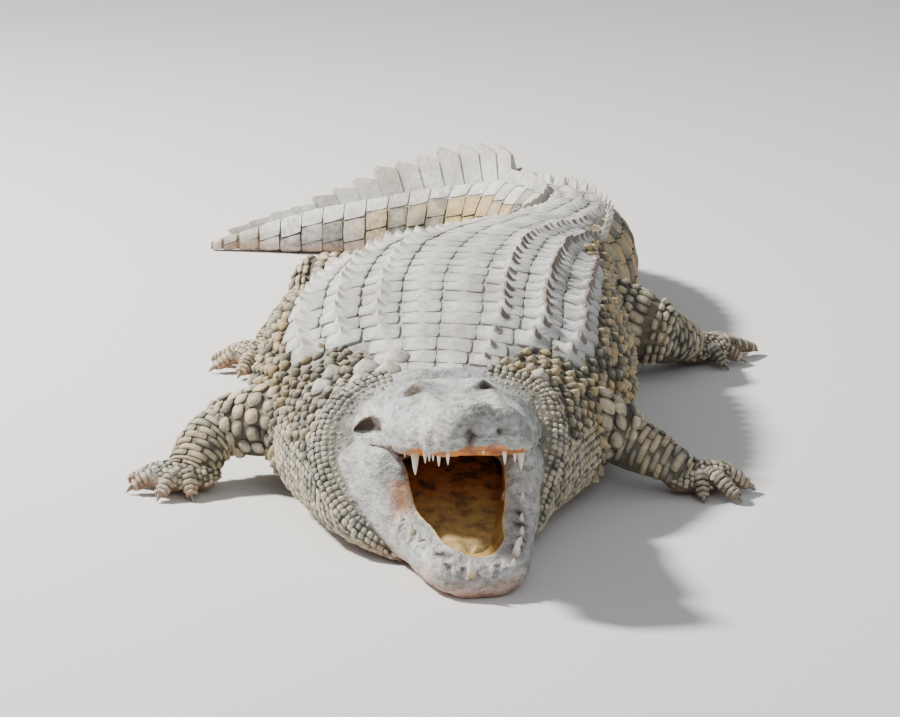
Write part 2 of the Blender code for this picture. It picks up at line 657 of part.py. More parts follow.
parts = bpy.data.collections.new("crocodile")
bpy.context.scene.collection.children.link(parts)

throat_cutter = make_head(finish("hide_of_head", HIDE, 0.8), finish("tooth", IVORY, 0.35),
                          finish("mouth_lining", MOUTH_LINING, 0.45), finish("eye", EYE_TONE, 0.15))
body_hide = finish("hide_of_body", HIDE, 0.85)
make_body(body_hide, throat_cutter)
whole = whole_body(body_hide)
for leg in LEGS:
    make_leg(leg, body_hide, finish(f"claw_of_{leg}", IVORY, 0.5), whole)
drop([whole])
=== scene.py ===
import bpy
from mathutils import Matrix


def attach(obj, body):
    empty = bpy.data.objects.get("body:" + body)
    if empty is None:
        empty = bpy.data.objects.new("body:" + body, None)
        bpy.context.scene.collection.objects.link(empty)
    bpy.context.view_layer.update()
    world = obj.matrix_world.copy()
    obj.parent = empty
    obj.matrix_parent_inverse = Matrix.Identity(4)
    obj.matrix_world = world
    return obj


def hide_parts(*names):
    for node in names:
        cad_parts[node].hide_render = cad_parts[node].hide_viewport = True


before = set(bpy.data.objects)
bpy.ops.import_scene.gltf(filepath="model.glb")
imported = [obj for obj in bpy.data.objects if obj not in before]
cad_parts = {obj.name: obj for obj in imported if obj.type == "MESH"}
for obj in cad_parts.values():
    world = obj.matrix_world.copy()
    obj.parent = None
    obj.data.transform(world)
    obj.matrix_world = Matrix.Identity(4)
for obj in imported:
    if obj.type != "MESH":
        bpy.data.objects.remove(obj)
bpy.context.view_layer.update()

import math

import bmesh
import bpy
import numpy as np
from mathutils import Vector
from mathutils.bvhtree import BVHTree

# An adult Nile crocodile basking with its jaws open. Metres, +Z up, the body faces -Y and +X is its own left.
# One skin covers the flesh. Scales, scutes, teeth, claws, eyes and tongue are pieces of their own on it.

seed = 11
dice = np.random.default_rng(seed)
floorGap = 0.0006  # the lowest that any piece of skin or coat may reach


def smoothRows(rows, at, knots=None):
    # a smooth curve through each column, read at distances along the rows
    rows = np.asarray(rows, float)
    knots = rows[:, 0] if knots is None else knots
    slopes = np.gradient(rows, knots, axis=0)
    at = np.clip(at, knots[0], knots[-1])
    i = np.clip(np.searchsorted(knots, at, side="right") - 1, 0, len(knots) - 2)
    span = (knots[i + 1] - knots[i])[:, None]
    u = (at - knots[i])[:, None] / span
    first = (1 + 2 * u) * (1 - u) ** 2 * rows[i] + u * (1 - u) ** 2 * span * slopes[i]
    return first + u * u * (3 - 2 * u) * rows[i + 1] + u * u * (u - 1) * span * slopes[i + 1]


def pathLengths(points):
    return np.concatenate([[0.0], np.cumsum(np.linalg.norm(np.diff(points, axis=0), axis=1))])


def roundSection(angle, squareUp, squareDown):
    power = 2 / np.where(np.cos(angle) >= 0, squareUp, squareDown)
    side = np.sign(np.sin(angle)) * np.abs(np.sin(angle)) ** power
    rise = np.sign(np.cos(angle)) * np.abs(np.cos(angle)) ** power
    return side, rise


def blend(low, high, value):
    # 0 below low, 1 above high, and smooth between them
    t = np.clip((value - low) / (high - low), 0.0, 1.0)
    return t * t * (3 - 2 * t)


def hump(offset, radius):
    return np.exp(-((offset / radius) ** 2))


def unit(vectors):
    return vectors / np.maximum(np.linalg.norm(vectors, axis=-1, keepdims=True), 1e-12)


def ripple(points, scale, start):
    # smooth unevenness from -1 to 1, as a few crossed waves
    mix = np.random.default_rng(start)
    total = np.zeros(len(points))
    for octave in range(3):
        for _ in range(5):
            way = mix.normal(size=3)
            way *= (2.0 ** octave) * 2 * math.pi / (scale * np.linalg.norm(way))
            total += np.sin(points @ way + mix.uniform(0, 2 * math.pi)) / (2.0 ** octave)
    return total / 4.2


def newObject(name, mesh):
    made = bpy.data.objects.new(name, mesh)
    bpy.context.scene.collection.objects.link(made)
    return made


def pieceOf(name, form):
    mesh = bpy.data.meshes.new(name)
    form.to_mesh(mesh)
    form.free()
    return newObject(name, mesh)


def solidOf(name, form):
    # a closed form's faces are turned outward first
    if form.calc_volume(signed=True) < 0:
        bmesh.ops.reverse_faces(form, faces=form.faces[:])
    return pieceOf(name, form)


def smooth(piece):
    piece.data.polygons.foreach_set("use_smooth", np.ones(len(piece.data.polygons), bool))
    return piece


def mark(mesh, key, values):
    # one number at each point, which the finishes read by its key
    mesh.attributes.new(key, "FLOAT", "POINT").data.foreach_set("value", np.asarray(values, np.float32))


def treeOf(piece):
    return BVHTree.FromPolygons([v.co for v in piece.data.vertices],
                                [p.vertices for p in piece.data.polygons])


def loft(name, place, rings, sides, relief=None):
    # a sphere whose rings are carried to place(share along, angle), with its poles in the end sections
    form = bmesh.new()
    bmesh.ops.create_uvsphere(form, u_segments=sides, v_segments=rings + 1, radius=1.0)
    start = np.array([v.co for v in form.verts])
    ring = np.rint(np.arccos(np.clip(start[:, 2], -1, 1)) / math.pi * (rings + 1)).astype(int)
    angle = np.arctan2(start[:, 1], start[:, 0])
    column = np.rint(angle / (2 * math.pi) * sides).astype(int) % sides
    grid = place(np.repeat(np.linspace(0, 1, rings), sides),
                 np.tile(np.arange(sides) * 2 * math.pi / sides, rings)).reshape(rings, sides, 3)
    if relief is not None:
        around = np.roll(grid, -1, axis=1) - np.roll(grid, 1, axis=1)
        outward = unit(np.cross(np.gradient(grid, axis=0), around))
        middle = grid.mean(axis=1, keepdims=True)
        if ((grid - middle) * outward)[rings // 4: -rings // 4].sum() < 0:
            outward = -outward
        grid = grid + outward * relief(grid.reshape(-1, 3)).reshape(rings, sides, 1)
    points = grid[np.clip(ring - 1, 0, rings - 1), column]
    for pole, beside in ((0, 0), (rings + 1, rings - 1)):
        points[ring == pole] = grid[beside].mean(axis=0)
    for vertex, point in zip(form.verts, points):
        vertex.co = point
    return solidOf(name, form)


def pointsOf(piece):
    points = np.empty(len(piece.data.vertices) * 3)
    piece.data.vertices.foreach_get("co", points)
    return points.reshape(-1, 3)


def setPoints(piece, points):
    piece.data.vertices.foreach_set("co", np.ascontiguousarray(points, np.float32).ravel())
    piece.data.update()


def normalsOf(piece):
    normals = np.empty(len(piece.data.vertices) * 3)
    piece.data.vertices.foreach_get("normal", normals)
    return normals.reshape(-1, 3)


def combine(piece, other, operation):
    change = piece.modifiers.new("combine", "BOOLEAN")
    change.operation = operation
    change.solver = "MANIFOLD"
    change.object = other
    evaluated = piece.evaluated_get(bpy.context.evaluated_depsgraph_get())
    mesh = bpy.data.meshes.new_from_object(evaluated)
    piece.modifiers.clear()
    piece.data = mesh
    bpy.data.objects.remove(other)


def joinForms(name, pieces):
    # one piece from several; where the skin left no room for scales there is none to join
    form = bmesh.new()
    for piece in pieces:
        if piece is not None:
            form.from_mesh(piece.data)
            bpy.data.objects.remove(piece)
    return pieceOf(name, form)


def relax(piece, share, rounds):
    # moves each point toward the mean of its neighbours, by a share that may differ from point to point
    mesh = piece.data
    ends = np.empty(len(mesh.edges) * 2, int)
    mesh.edges.foreach_get("vertices", ends)
    a, b = ends.reshape(-1, 2).T
    points = pointsOf(piece)
    count = np.bincount(a, minlength=len(points)) + np.bincount(b, minlength=len(points))
    for _ in range(rounds):
        total = np.stack([np.bincount(a, points[b, k], len(points))
                          + np.bincount(b, points[a, k], len(points)) for k in range(3)], axis=1)
        points += (total / count[:, None] - points) * np.broadcast_to(share, len(points))[:, None]
    setPoints(piece, points)


def keepSide(piece, at, away, roll):
    # cuts off what lies beyond a plane and closes the cut with a rounded edge
    form = bmesh.new()
    form.from_mesh(piece.data)
    bmesh.ops.bisect_plane(form, geom=form.verts[:] + form.edges[:] + form.faces[:], dist=1e-6,
                           plane_co=at, plane_no=away, clear_outer=True)
    bmesh.ops.remove_doubles(form, verts=[v for v in form.verts if v.is_boundary], dist=0.006)
    cap = bmesh.ops.holes_fill(form, edges=[e for e in form.edges if e.is_boundary], sides=0)["faces"]
    for step in np.diff(roll, axis=0):
        bmesh.ops.inset_region(form, faces=cap, thickness=0.0004, use_even_offset=False)
        ring = np.array([v.co for v in cap[0].verts])
        inward = unit(np.cross(away, np.roll(ring, -2, axis=0) - np.roll(ring, 2, axis=0)))
        inward *= np.where((inward * (ring.mean(axis=0) - ring)).sum(axis=1) < 0, -1, 1)[:, None]
        for vertex, point in zip(cap[0].verts, ring + inward * step[0] + away * step[1]):
            vertex.co = point
    form.to_mesh(piece.data)
    form.free()


body = dict(
    # x, y, half width, top, height of the widest point, squareness of the back and of the belly
    rows=(
        (0.025, -1.240, 0.100, 0.110, 0.060, 2.2, 2.8),
        (0.000, -1.120, 0.185, 0.180, 0.085, 2.2, 2.8),
        (-0.022, -1.000, 0.246, 0.240, 0.105, 2.3, 2.9),
        (-0.032, -0.850, 0.296, 0.284, 0.118, 2.3, 3.0),
        (-0.026, -0.700, 0.342, 0.302, 0.128, 2.3, 3.0),
        (-0.020, -0.520, 0.385, 0.345, 0.140, 2.3, 3.0),
        (-0.006, -0.250, 0.396, 0.378, 0.150, 2.3, 3.0),
        (0.035, 0.020, 0.360, 0.386, 0.155, 2.3, 3.0),
        (0.098, 0.280, 0.292, 0.370, 0.155, 2.2, 2.9),
        (0.165, 0.500, 0.232, 0.345, 0.150, 2.1, 2.8),
        (0.235, 0.720, 0.195, 0.318, 0.135, 2.0, 2.7),
        (0.290, 0.960, 0.170, 0.292, 0.120, 2.0, 2.6),
        (0.300, 1.215, 0.144, 0.268, 0.105, 1.9, 2.5),
        (0.238, 1.450, 0.118, 0.244, 0.092, 1.8, 2.4),
        (0.105, 1.630, 0.094, 0.218, 0.080, 1.7, 2.3),
        (-0.075, 1.715, 0.074, 0.184, 0.068, 1.7, 2.2),
        (-0.270, 1.748, 0.056, 0.140, 0.052, 1.7, 2.2),
        (-0.460, 1.765, 0.036, 0.088, 0.034, 1.8, 2.1),
        (-0.635, 1.775, 0.010, 0.030, 0.012, 2.0, 2.0),
    ),
    sink=1.05, coat=0.006, rings=230, sides=76,
)
bodyKnots = pathLengths(np.array(body["rows"])[:, :2])
bodyLength = bodyKnots[-1]


def bodyWay(at):
    before, after = (smoothRows(body["rows"], at + step, bodyKnots)[:, :2] for step in (-0.002, 0.002))
    return unit(after - before)


def bodyPlace(at, angle, grow=0.0, lowest=floorGap):
    rows = smoothRows(body["rows"], at, bodyKnots)
    way = bodyWay(at)
    x, y, half, top, middle, back, belly = rows.T
    side, rise = roundSection(angle, back, belly)
    out = side * (half + grow)
    above = middle + rise * (top - middle + grow)
    below = middle + rise * (middle * body["sink"] + grow)
    height = np.maximum(np.where(rise >= 0, above, below), lowest)
    return np.stack([x + way[:, 1] * out, y - way[:, 0] * out, height], axis=1)


legs = dict(
    # x, y, z, half width and half thickness along each length, then the palm, then the digits' tips
    armLeft=(
        ((0.190, -0.655, 0.150, 0.085, 0.085), (0.270, -0.650, 0.142, 0.082, 0.080),
         (0.335, -0.635, 0.122, 0.066, 0.064)),
        ((0.335, -0.630, 0.110, 0.064, 0.060), (0.400, -0.650, 0.082, 0.060, 0.052),
         (0.468, -0.668, 0.050, 0.050, 0.036)),
        (0.500, -0.664, 0.034, 0.054, 0.032),
        ((0.508, -0.732, 0.016), (0.572, -0.744, 0.017), (0.602, -0.660, 0.016),
         (0.590, -0.590, 0.014), (0.540, -0.570, 0.013)),
    ),
    armRight=(
        ((-0.270, -0.630, 0.145, 0.085, 0.085), (-0.370, -0.590, 0.130, 0.080, 0.078),
         (-0.450, -0.545, 0.110, 0.066, 0.062)),
        ((-0.440, -0.545, 0.115, 0.064, 0.060), (-0.495, -0.590, 0.086, 0.062, 0.052),
         (-0.525, -0.640, 0.050, 0.054, 0.038)),
        (-0.538, -0.655, 0.034, 0.056, 0.032),
        ((-0.520, -0.722, 0.016), (-0.580, -0.728, 0.017), (-0.638, -0.672, 0.016),
         (-0.645, -0.610, 0.014), (-0.602, -0.575, 0.013)),
    ),
    legLeft=(
        ((0.215, 0.370, 0.175, 0.110, 0.105), (0.340, 0.360, 0.140, 0.105, 0.098),
         (0.450, 0.340, 0.110, 0.085, 0.082)),
        ((0.440, 0.340, 0.105, 0.080, 0.076), (0.505, 0.390, 0.080, 0.068, 0.062),
         (0.540, 0.455, 0.055, 0.054, 0.044)),
        (0.570, 0.470, 0.036, 0.060, 0.034),
        ((0.628, 0.410, 0.016), (0.668, 0.462, 0.017), (0.705, 0.560, 0.016), (0.668, 0.630, 0.014)),
    ),
    legRight=(
        ((-0.020, 0.500, 0.180, 0.110, 0.105), (-0.150, 0.530, 0.158, 0.108, 0.100),
         (-0.300, 0.560, 0.142, 0.094, 0.096)),
        ((-0.290, 0.545, 0.130, 0.084, 0.084), (-0.350, 0.490, 0.095, 0.068, 0.064),
         (-0.400, 0.440, 0.058, 0.054, 0.046)),
        (-0.430, 0.420, 0.036, 0.062, 0.034),
        ((-0.425, 0.335, 0.016), (-0.475, 0.320, 0.017), (-0.535, 0.380, 0.016), (-0.540, 0.455, 0.014)),
    ),
)
digits = dict(root=0.022, tip=0.014, arch=0.012, clawed=3, coat=0.003)
limbCoat = 0.005


def limbPlace(rows, grow=0.0, endShare=0.8):
    # place(metres along, angle) on one length of a leg, whose ends are round; and how far it runs past them
    points = np.array(rows, float)
    knots = pathLengths(points[:, :3])
    ends = points[0, 3] * endShare, points[-1, 3] * endShare

    def place(reach, angle):
        inside = np.clip(reach, 0.0, knots[-1])
        row = smoothRows(points, inside, knots)
        before, after = (smoothRows(points, inside + step, knots)[:, :3] for step in (-0.002, 0.002))
        way = unit(after - before)
        past = reach - inside
        narrow = np.sqrt(np.clip(1 - (past / np.where(past < 0, ends[0], ends[1])) ** 2, 0.02, 1))
        across = unit(np.cross(way, (0.0, 0.0, 1.0)))
        over = np.cross(across, way)
        return (row[:, :3] + way * past[:, None]
                + across * (np.sin(angle) * (row[:, 3] * narrow + grow))[:, None]
                + over * (np.cos(angle) * (row[:, 4] * narrow + grow))[:, None])

    return place, -ends[0], knots[-1] + ends[1]


def digitRows(palm, tip):
    start, end = np.array(palm[:3]), np.array(tip)
    middle = (start + end) / 2 + np.array([0.0, 0.0, digits["arch"]])
    root, point = digits["root"], digits["tip"]
    return (*start, root, root), (*middle, root, root), (*end, point, point)


def palmRows(leg):
    _, lower, palm, tips = legs[leg]
    heading = np.mean(tips, axis=0) - np.array(lower[-1][:3])
    heading[2] = 0.0
    heading = unit(heading)
    return [(*(np.array(palm[:3]) + heading * reach), palm[3], palm[4]) for reach in (-0.03, 0.03)]


head = dict(
    joint=(-0.018, -0.862, 0.160), turn=math.radians(8), pitch=math.radians(13),
    # distance before the joint, half width, height over the tooth line, depth under it, squareness
    upper=(
        (-0.060, 0.150, 0.092, 0.020, 1.9),
        (0.020, 0.180, 0.112, 0.016, 2.0),
        (0.100, 0.184, 0.114, 0.012, 2.1),
        (0.170, 0.166, 0.108, 0.012, 2.2),
        (0.250, 0.142, 0.092, 0.014, 2.4),
        (0.350, 0.132, 0.076, 0.022, 2.6),
        (0.430, 0.112, 0.066, 0.014, 2.5),
        (0.490, 0.100, 0.068, 0.018, 2.4),
        (0.530, 0.088, 0.070, 0.020, 2.3),
        (0.552, 0.064, 0.058, 0.012, 2.1),
        (0.560, 0.034, 0.040, 0.000, 2.0),
    ),
    # distance before the joint, half width, rim height over the floor, keel height over the floor
    lower=(
        (-0.100, 0.180, 0.200, 0.060),
        (-0.020, 0.196, 0.206, 0.030),
        (0.060, 0.196, 0.200, 0.004),
        (0.120, 0.190, 0.184, -0.004),
        (0.200, 0.168, 0.150, -0.006),
        (0.300, 0.142, 0.119, -0.006),
        (0.400, 0.118, 0.094, -0.006),
        (0.480, 0.099, 0.074, -0.004),
        (0.525, 0.080, 0.063, 0.000),
        (0.548, 0.056, 0.054, 0.004),
        (0.558, 0.030, 0.042, 0.014),
    ),
    # the mouth's hollow: distance before the joint, half width, floor, roof over the tooth line
    mouth=(
        (-0.020, 0.070, 0.112, 0.000),
        (0.040, 0.104, 0.094, -0.012),
        (0.120, 0.112, 0.080, -0.018),
        (0.200, 0.112, 0.066, -0.020),
        (0.270, 0.102, 0.058, -0.022),
        (0.330, 0.090, 0.054, -0.022),
        (0.390, 0.074, 0.050, -0.016),
        (0.450, 0.062, 0.047, -0.008),
        (0.485, 0.044, 0.046, 0.000),
        (0.506, 0.018, 0.052, 0.004),
    ),
    cheek=0.036, lipLift=0.4, lipOver=0.004, widest=0.62, tipRings=1.4,
    # the crease behind the jaws: a plane, and the roll of hide before it as distances inward and forward
    creaseAt=(-0.013, -0.859, 0.226), creaseSlant=math.radians(36),
    roll=((0.0, 0.0), (0.004, 0.009), (0.012, 0.017), (0.024, 0.022), (0.040, 0.024)),
    browShift=-0.010,
)
headForward = np.array([math.sin(head["turn"]), -math.cos(head["turn"]), 0.0])
headLeft = np.array([math.cos(head["turn"]), math.sin(head["turn"]), 0.0])
headUp = np.array([0.0, 0.0, 1.0])
upperForward = headForward * math.cos(head["pitch"]) + headUp * math.sin(head["pitch"])
upperUp = headUp * math.cos(head["pitch"]) - headForward * math.sin(head["pitch"])
joint = np.array(head["joint"])
jointFloor = joint * (1, 1, 0)
creaseWay = headForward * math.sin(head["creaseSlant"]) + headUp * math.cos(head["creaseSlant"])


def beyondCrease(points):
    # how far a point is on the head's side of the crease behind the jaws
    return (points - np.array(head["creaseAt"])) @ creaseWay


def onUpper(side, ahead, over):
    return joint + np.outer(side, headLeft) + np.outer(ahead, upperForward) + np.outer(over, upperUp)


def onLower(side, ahead, height):
    return jointFloor + np.outer(side, headLeft) + np.outer(ahead, headForward) + np.outer(height, headUp)


def inUpper(points):
    away = points - joint
    return away @ headLeft, away @ upperForward, away @ upperUp


def inLower(points):
    away = points - jointFloor
    return away @ headLeft, away @ headForward, away @ headUp


def headRows(part, along):
    # rings stand closer together toward the snout's tip
    first, last = head[part][0][0], head[part][-1][0]
    ahead = first + (1 - (1 - along) ** head["tipRings"]) * (last - first)
    return ahead, smoothRows(head[part], ahead)


def upperPlace(along, angle):
    ahead, rows = headRows("upper", along)
    side, rise = roundSection(angle, rows[:, 4], 5.0)
    over = np.where(rise >= 0, rise * rows[:, 2], rise * rows[:, 3])
    over += rows[:, 3] * head["lipLift"] + head["lipOver"]
    return onUpper(side * rows[:, 1], ahead, over)


def lowerPlace(along, angle):
    ahead, rows = headRows("lower", along)
    rim, keel = rows[:, 2], rows[:, 3]
    middle = rim * head["widest"] + keel * (1 - head["widest"])
    side, rise = roundSection(angle, 3.4, 2.6)
    # the corner of the mouth: outside the hollow the rim climbs to the upper lip
    lip = joint[2] + ahead * math.tan(head["pitch"]) + 0.020
    climb = blend(0.335, 0.215, ahead) * blend(0.45, 0.70, np.abs(side))
    rim = rim + climb * np.maximum(lip - rim, 0.0)
    height = middle + rise * np.where(rise >= 0, rim - middle, middle - keel)
    cheek = np.where(side < 0, head["cheek"], 0.0) * hump(ahead - 0.14, 0.13)
    return onLower(side * (rows[:, 1] + cheek), ahead, height)


def mouthPlace(along, angle):
    ahead, rows = headRows("mouth", along)
    side, rise = roundSection(angle, 3.2, 3.0)
    roof = onUpper(ahead * 0, ahead, rows[:, 3])[:, 2] + 0.012 * (1 - np.cos(angle))
    floor = rows[:, 2]
    middle = (roof + floor) / 2
    narrow = 1 - 0.16 * (side > 0) * blend(0.05, 0.20, ahead) * blend(0.45, 0.35, ahead)
    return onLower(side * rows[:, 1] * narrow, ahead, middle + rise * (roof - floor) / 2)


def bodyFolds(points):
    # the fat's slow swells and the hide's smaller lumps
    return 0.0035 * ripple(points, 0.30, 5) + 0.0014 * ripple(points, 0.10, 6)


eyes = dict(slitSide=0.071, slitAhead=0.220, at=(0.069, 0.210, 0.081), radius=0.0180)


def eyeWays(side, ahead):
    # distances along and across the nearer eye's slit
    out = np.abs(side - head["browShift"]) - eyes["slitSide"]
    slant = math.radians(50)
    along = out * math.cos(slant) - (ahead - eyes["slitAhead"]) * math.sin(slant)
    return along, out * math.sin(slant) + (ahead - eyes["slitAhead"]) * math.cos(slant)


def upperRelief(points):
    side, ahead, over = inUpper(points)
    off = np.abs(side)
    top = blend(0.005, 0.045, over)
    nose = blend(0.46, 0.50, ahead)
    relief = 0.0025 * ripple(points, 0.09, 21) + 0.0011 * ripple(points, 0.035, 22) * (1 - 0.5 * nose)
    # the nose: a round swelling with a lobe on each side, two nostrils and a crease behind them
    relief += 0.003 * hump(side, 0.022) * hump(ahead - 0.530, 0.032) * top
    relief += 0.004 * hump(off - 0.052, 0.024) * hump(ahead - 0.530, 0.036) * top
    front = blend(0.540, 0.556, ahead)
    relief += 0.008 * hump(side + 0.046, 0.018) * hump(over - 0.026, 0.022) * front
    relief += 0.005 * hump(side - 0.008, 0.015) * hump(over - 0.024, 0.018) * front
    relief += 0.008 * hump(side - 0.062, 0.018) * hump(over - 0.030, 0.022) * front
    relief -= 0.018 * hump(side + 0.020, 0.0070) * hump(over - 0.022, 0.014) * front
    relief -= 0.009 * hump(side - 0.033, 0.0055) * hump(over - 0.030, 0.008) * front
    relief -= 0.003 * hump(over - 0.073 + 8.0 * (side + 0.004) ** 2, 0.005) * blend(0.515, 0.540, ahead) \
        * hump(side + 0.004, 0.020)
    relief -= 0.008 * hump(off - 0.027, 0.009) * hump(ahead - 0.532, 0.012) * top
    relief -= 0.005 * hump(ahead - 0.484 + 6.0 * side ** 2, 0.007) * blend(0.050, 0.025, off) * top
    relief -= 0.007 * hump(ahead - 0.440, 0.030) * hump(off - 0.100, 0.035)
    # ridges from the eyes to the snout, the brows, the hollow between them and the skull table's edges
    ridge = hump(off - 0.052 - 0.06 * (0.45 - ahead), 0.013)
    relief += 0.007 * ridge * blend(0.20, 0.26, ahead) * blend(0.46, 0.36, ahead) * top
    relief += 0.005 * hump(side, 0.018) * blend(0.24, 0.30, ahead) * blend(0.48, 0.40, ahead) * top
    brow = np.abs(side - head["browShift"])
    relief += 0.013 * hump(brow - 0.056, 0.024) * hump(ahead - 0.172, 0.038) * top
    relief -= 0.010 * hump(side - head["browShift"], 0.026) * hump(ahead - 0.180, 0.060) * top
    relief += 0.008 * hump(off - 0.080, 0.014) * hump(ahead - 0.060, 0.060) * top
    # each eye's slit between its lids, which runs outward and back
    along, across = eyeWays(side, ahead)
    relief -= 0.010 * hump(across, 0.0055) * hump(along, 0.026) * top
    relief += 0.013 * hump(across + 0.014, 0.009) * hump(along, 0.032) * top
    relief += 0.003 * hump(across - 0.013, 0.006) * hump(along, 0.030) * top
    # wrinkles and pits over the whole of it
    relief += 0.0016 * ripple(points * (1.0, 1.0, 2.2), 0.016, 23) * (1 - 0.4 * nose)
    # the lip swells over the large teeth and draws in between them
    lip = blend(0.055, 0.020, over)
    relief += lip * (0.006 * hump(ahead - 0.370, 0.030) + 0.004 * hump(ahead - 0.515, 0.020)
                     - 0.007 * hump(ahead - 0.445, 0.022) - 0.004 * hump(ahead - 0.290, 0.030))
    relief += 0.0018 * lip * np.sin(ahead * 2 * math.pi / 0.034) * blend(0.22, 0.28, ahead)
    return relief


def lowerRelief(points):
    side, ahead, height = inLower(points)
    off = np.abs(side)
    front = blend(0.30, 0.45, ahead)
    relief = 0.0028 * ripple(points, 0.08, 31) + 0.0013 * ripple(points, 0.035, 32)
    relief += 0.0020 * front * ripple(points, 0.022, 33) * blend(0.03, 0.06, height)
    relief += 0.0035 * hump(ahead - 0.475, 0.022) * blend(0.04, 0.07, height)
    relief -= 0.0030 * hump(ahead - 0.415, 0.020) * blend(0.05, 0.08, height)
    # shallow folds that run round the corner of the mouth
    relief += 0.0016 * np.sin((height * 1.0 + ahead * 0.35) * 2 * math.pi / 0.017) \
        * blend(0.30, 0.16, ahead) * blend(0.09, 0.13, height)
    return relief


def limbFolds(points):
    return 0.0012 * ripple(points, 0.05, 8)


def legPieces(leg):
    upper, lower, palm, tips = legs[leg]
    lengths = [(upper, limbCoat, 34, 30), (lower, limbCoat, 34, 28), (palmRows(leg), digits["coat"], 18, 26)]
    lengths += [(digitRows(palm, tip), digits["coat"], 22, 16) for tip in tips]
    made = []
    for rows, coat, rings, sides in lengths:
        surface, start, end = limbPlace(rows, -coat)
        made.append(loft("length", lambda along, angle: surface(start + (end - start) * along, angle),
                         rings, sides, limbFolds))
    return made


def softenCreases(piece, steepest, rings, rounds, region=None):
    # eases the sharp inner edges that a union leaves
    form = bmesh.new()
    form.from_mesh(piece.data)
    form.verts.ensure_lookup_table()
    marked = np.zeros(len(form.verts))
    for edge in form.edges:
        if len(edge.link_faces) == 2 and edge.calc_face_angle_signed(0.0) < -steepest:
            marked[[v.index for v in edge.verts]] = 1
    if region is not None:
        marked *= region(pointsOf(piece))
    ends = np.array([[v.index for v in edge.verts] for edge in form.edges])
    form.free()
    for _ in range(rings):
        spread = marked.copy()
        np.maximum.at(spread, ends[:, 0], marked[ends[:, 1]] * 0.8)
        np.maximum.at(spread, ends[:, 1], marked[ends[:, 0]] * 0.8)
        marked = spread
    relax(piece, marked * 0.5, rounds)


pocket = dict(ahead=0.160, reach=0.066, side=-0.163, slope=0.28, deep=0.020, low=0.030, tall=0.030)


def pocketWays(points):
    # a three-cornered hollow in the right cheek: shares of its reach, its height and its depth
    side, ahead, over = inUpper(points)
    u = (ahead - pocket["ahead"]) / pocket["reach"]
    v = (side - pocket["side"] - pocket["slope"] * (ahead - pocket["ahead"])) / pocket["deep"]
    w = (over - pocket["low"]) / pocket["tall"]
    return u, v, w


def makePocket():
    form = bmesh.new()
    bmesh.ops.create_uvsphere(form, u_segments=24, v_segments=16, radius=1.0)
    for vertex in form.verts:
        u, v, w = vertex.co
        tall = w * (1 - 0.80 * abs(u + 0.12)) if w > 0 else 0.45 * w
        ahead = pocket["ahead"] + u * pocket["reach"]
        side = pocket["side"] + pocket["slope"] * (ahead - pocket["ahead"]) + v * pocket["deep"]
        over = pocket["low"] + tall * pocket["tall"]
        vertex.co = onUpper(np.array([side]), np.array([ahead]), np.array([over]))[0]
    return solidOf("pocket", form)


def makeSkin():
    def bodyAlong(along, angle):
        return bodyPlace(0.004 + (bodyLength - 0.008) * along, angle, -body["coat"], -1.0)

    skin = loft("skin", bodyAlong, body["rings"], body["sides"], bodyFolds)
    keepSide(skin, np.array(head["creaseAt"]), creaseWay, head["roll"])
    for leg in legs:
        pieces = legPieces(leg)
        first = pieces[0]
        for other in pieces[1:]:
            combine(first, other, "UNION")
        softenCreases(first, math.radians(20), 2, 4)
        combine(skin, first, "UNION")
    softenCreases(skin, math.radians(25), 3, 6)
    print("skin of the body and legs", len(skin.data.vertices))
    upper = loft("upper", upperPlace, 190, 160, upperRelief)
    lower = loft("lower", lowerPlace, 150, 130, lowerRelief)
    combine(upper, lower, "UNION")
    combine(skin, upper, "UNION")
    softenCreases(skin, math.radians(25), 3, 6, lambda points: points[:, 1] < -0.6)
    combine(skin, makePocket(), "DIFFERENCE")
    hollow = loft("hollow", mouthPlace, 90, 84)
    lining = treeOf(hollow)
    combine(skin, hollow, "DIFFERENCE")
    points = pointsOf(skin)
    points[:, 2] = np.maximum(points[:, 2], floorGap)
    setPoints(skin, points)
    print("skin", len(skin.data.vertices), "points", len(skin.data.polygons), "faces")
    return skin, lining


skin, mouthLining = makeSkin()
skinFaces = treeOf(skin)


def exposed(points, above=-0.001, gap=0.03):
    # whether each point lies on or just over the skin, and not inside another part of it
    found = np.zeros(len(points), bool)
    for i, point in enumerate(points):
        near, normal, _, _ = skinFaces.find_nearest(point, gap)
        found[i] = near is not None and (Vector(point) - near).dot(normal) > above
    return found


# Round the body, a scale's place is its distance along it and its distance round from the ridge of the back.
arcStations = np.linspace(0.0, bodyLength, 320)
arcSteps = 121
arcAngles = np.linspace(0.0, math.pi, arcSteps)
arcPoints = bodyPlace(np.repeat(arcStations, arcSteps), np.tile(arcAngles, len(arcStations)))
arcLengths = np.linalg.norm(np.diff(arcPoints.reshape(-1, arcSteps, 3), axis=1), axis=2).cumsum(axis=1)
arcLengths = np.concatenate([np.zeros((len(arcStations), 1)), arcLengths], axis=1)
halfGirths = arcLengths[:, -1]
evenShares = np.linspace(0, 1, arcSteps)
angleAtShare = np.array([np.interp(evenShares * row[-1], row, arcAngles) for row in arcLengths])


def halfGirth(at):
    return np.interp(at, arcStations, halfGirths)


def bodyAngle(at, arc):
    share = np.clip(np.abs(arc) / halfGirth(at), 0, 0.999) * (arcSteps - 1)
    station = np.clip(at / bodyLength, 0, 0.9999) * (len(arcStations) - 1)
    i, j = station.astype(int), share.astype(int)
    fi, fj = station - i, share - j
    low = angleAtShare[i, j] * (1 - fj) + angleAtShare[i, j + 1] * fj
    high = angleAtShare[i + 1, j] * (1 - fj) + angleAtShare[i + 1, j + 1] * fj
    return np.sign(arc) * (low * (1 - fi) + high * fi)


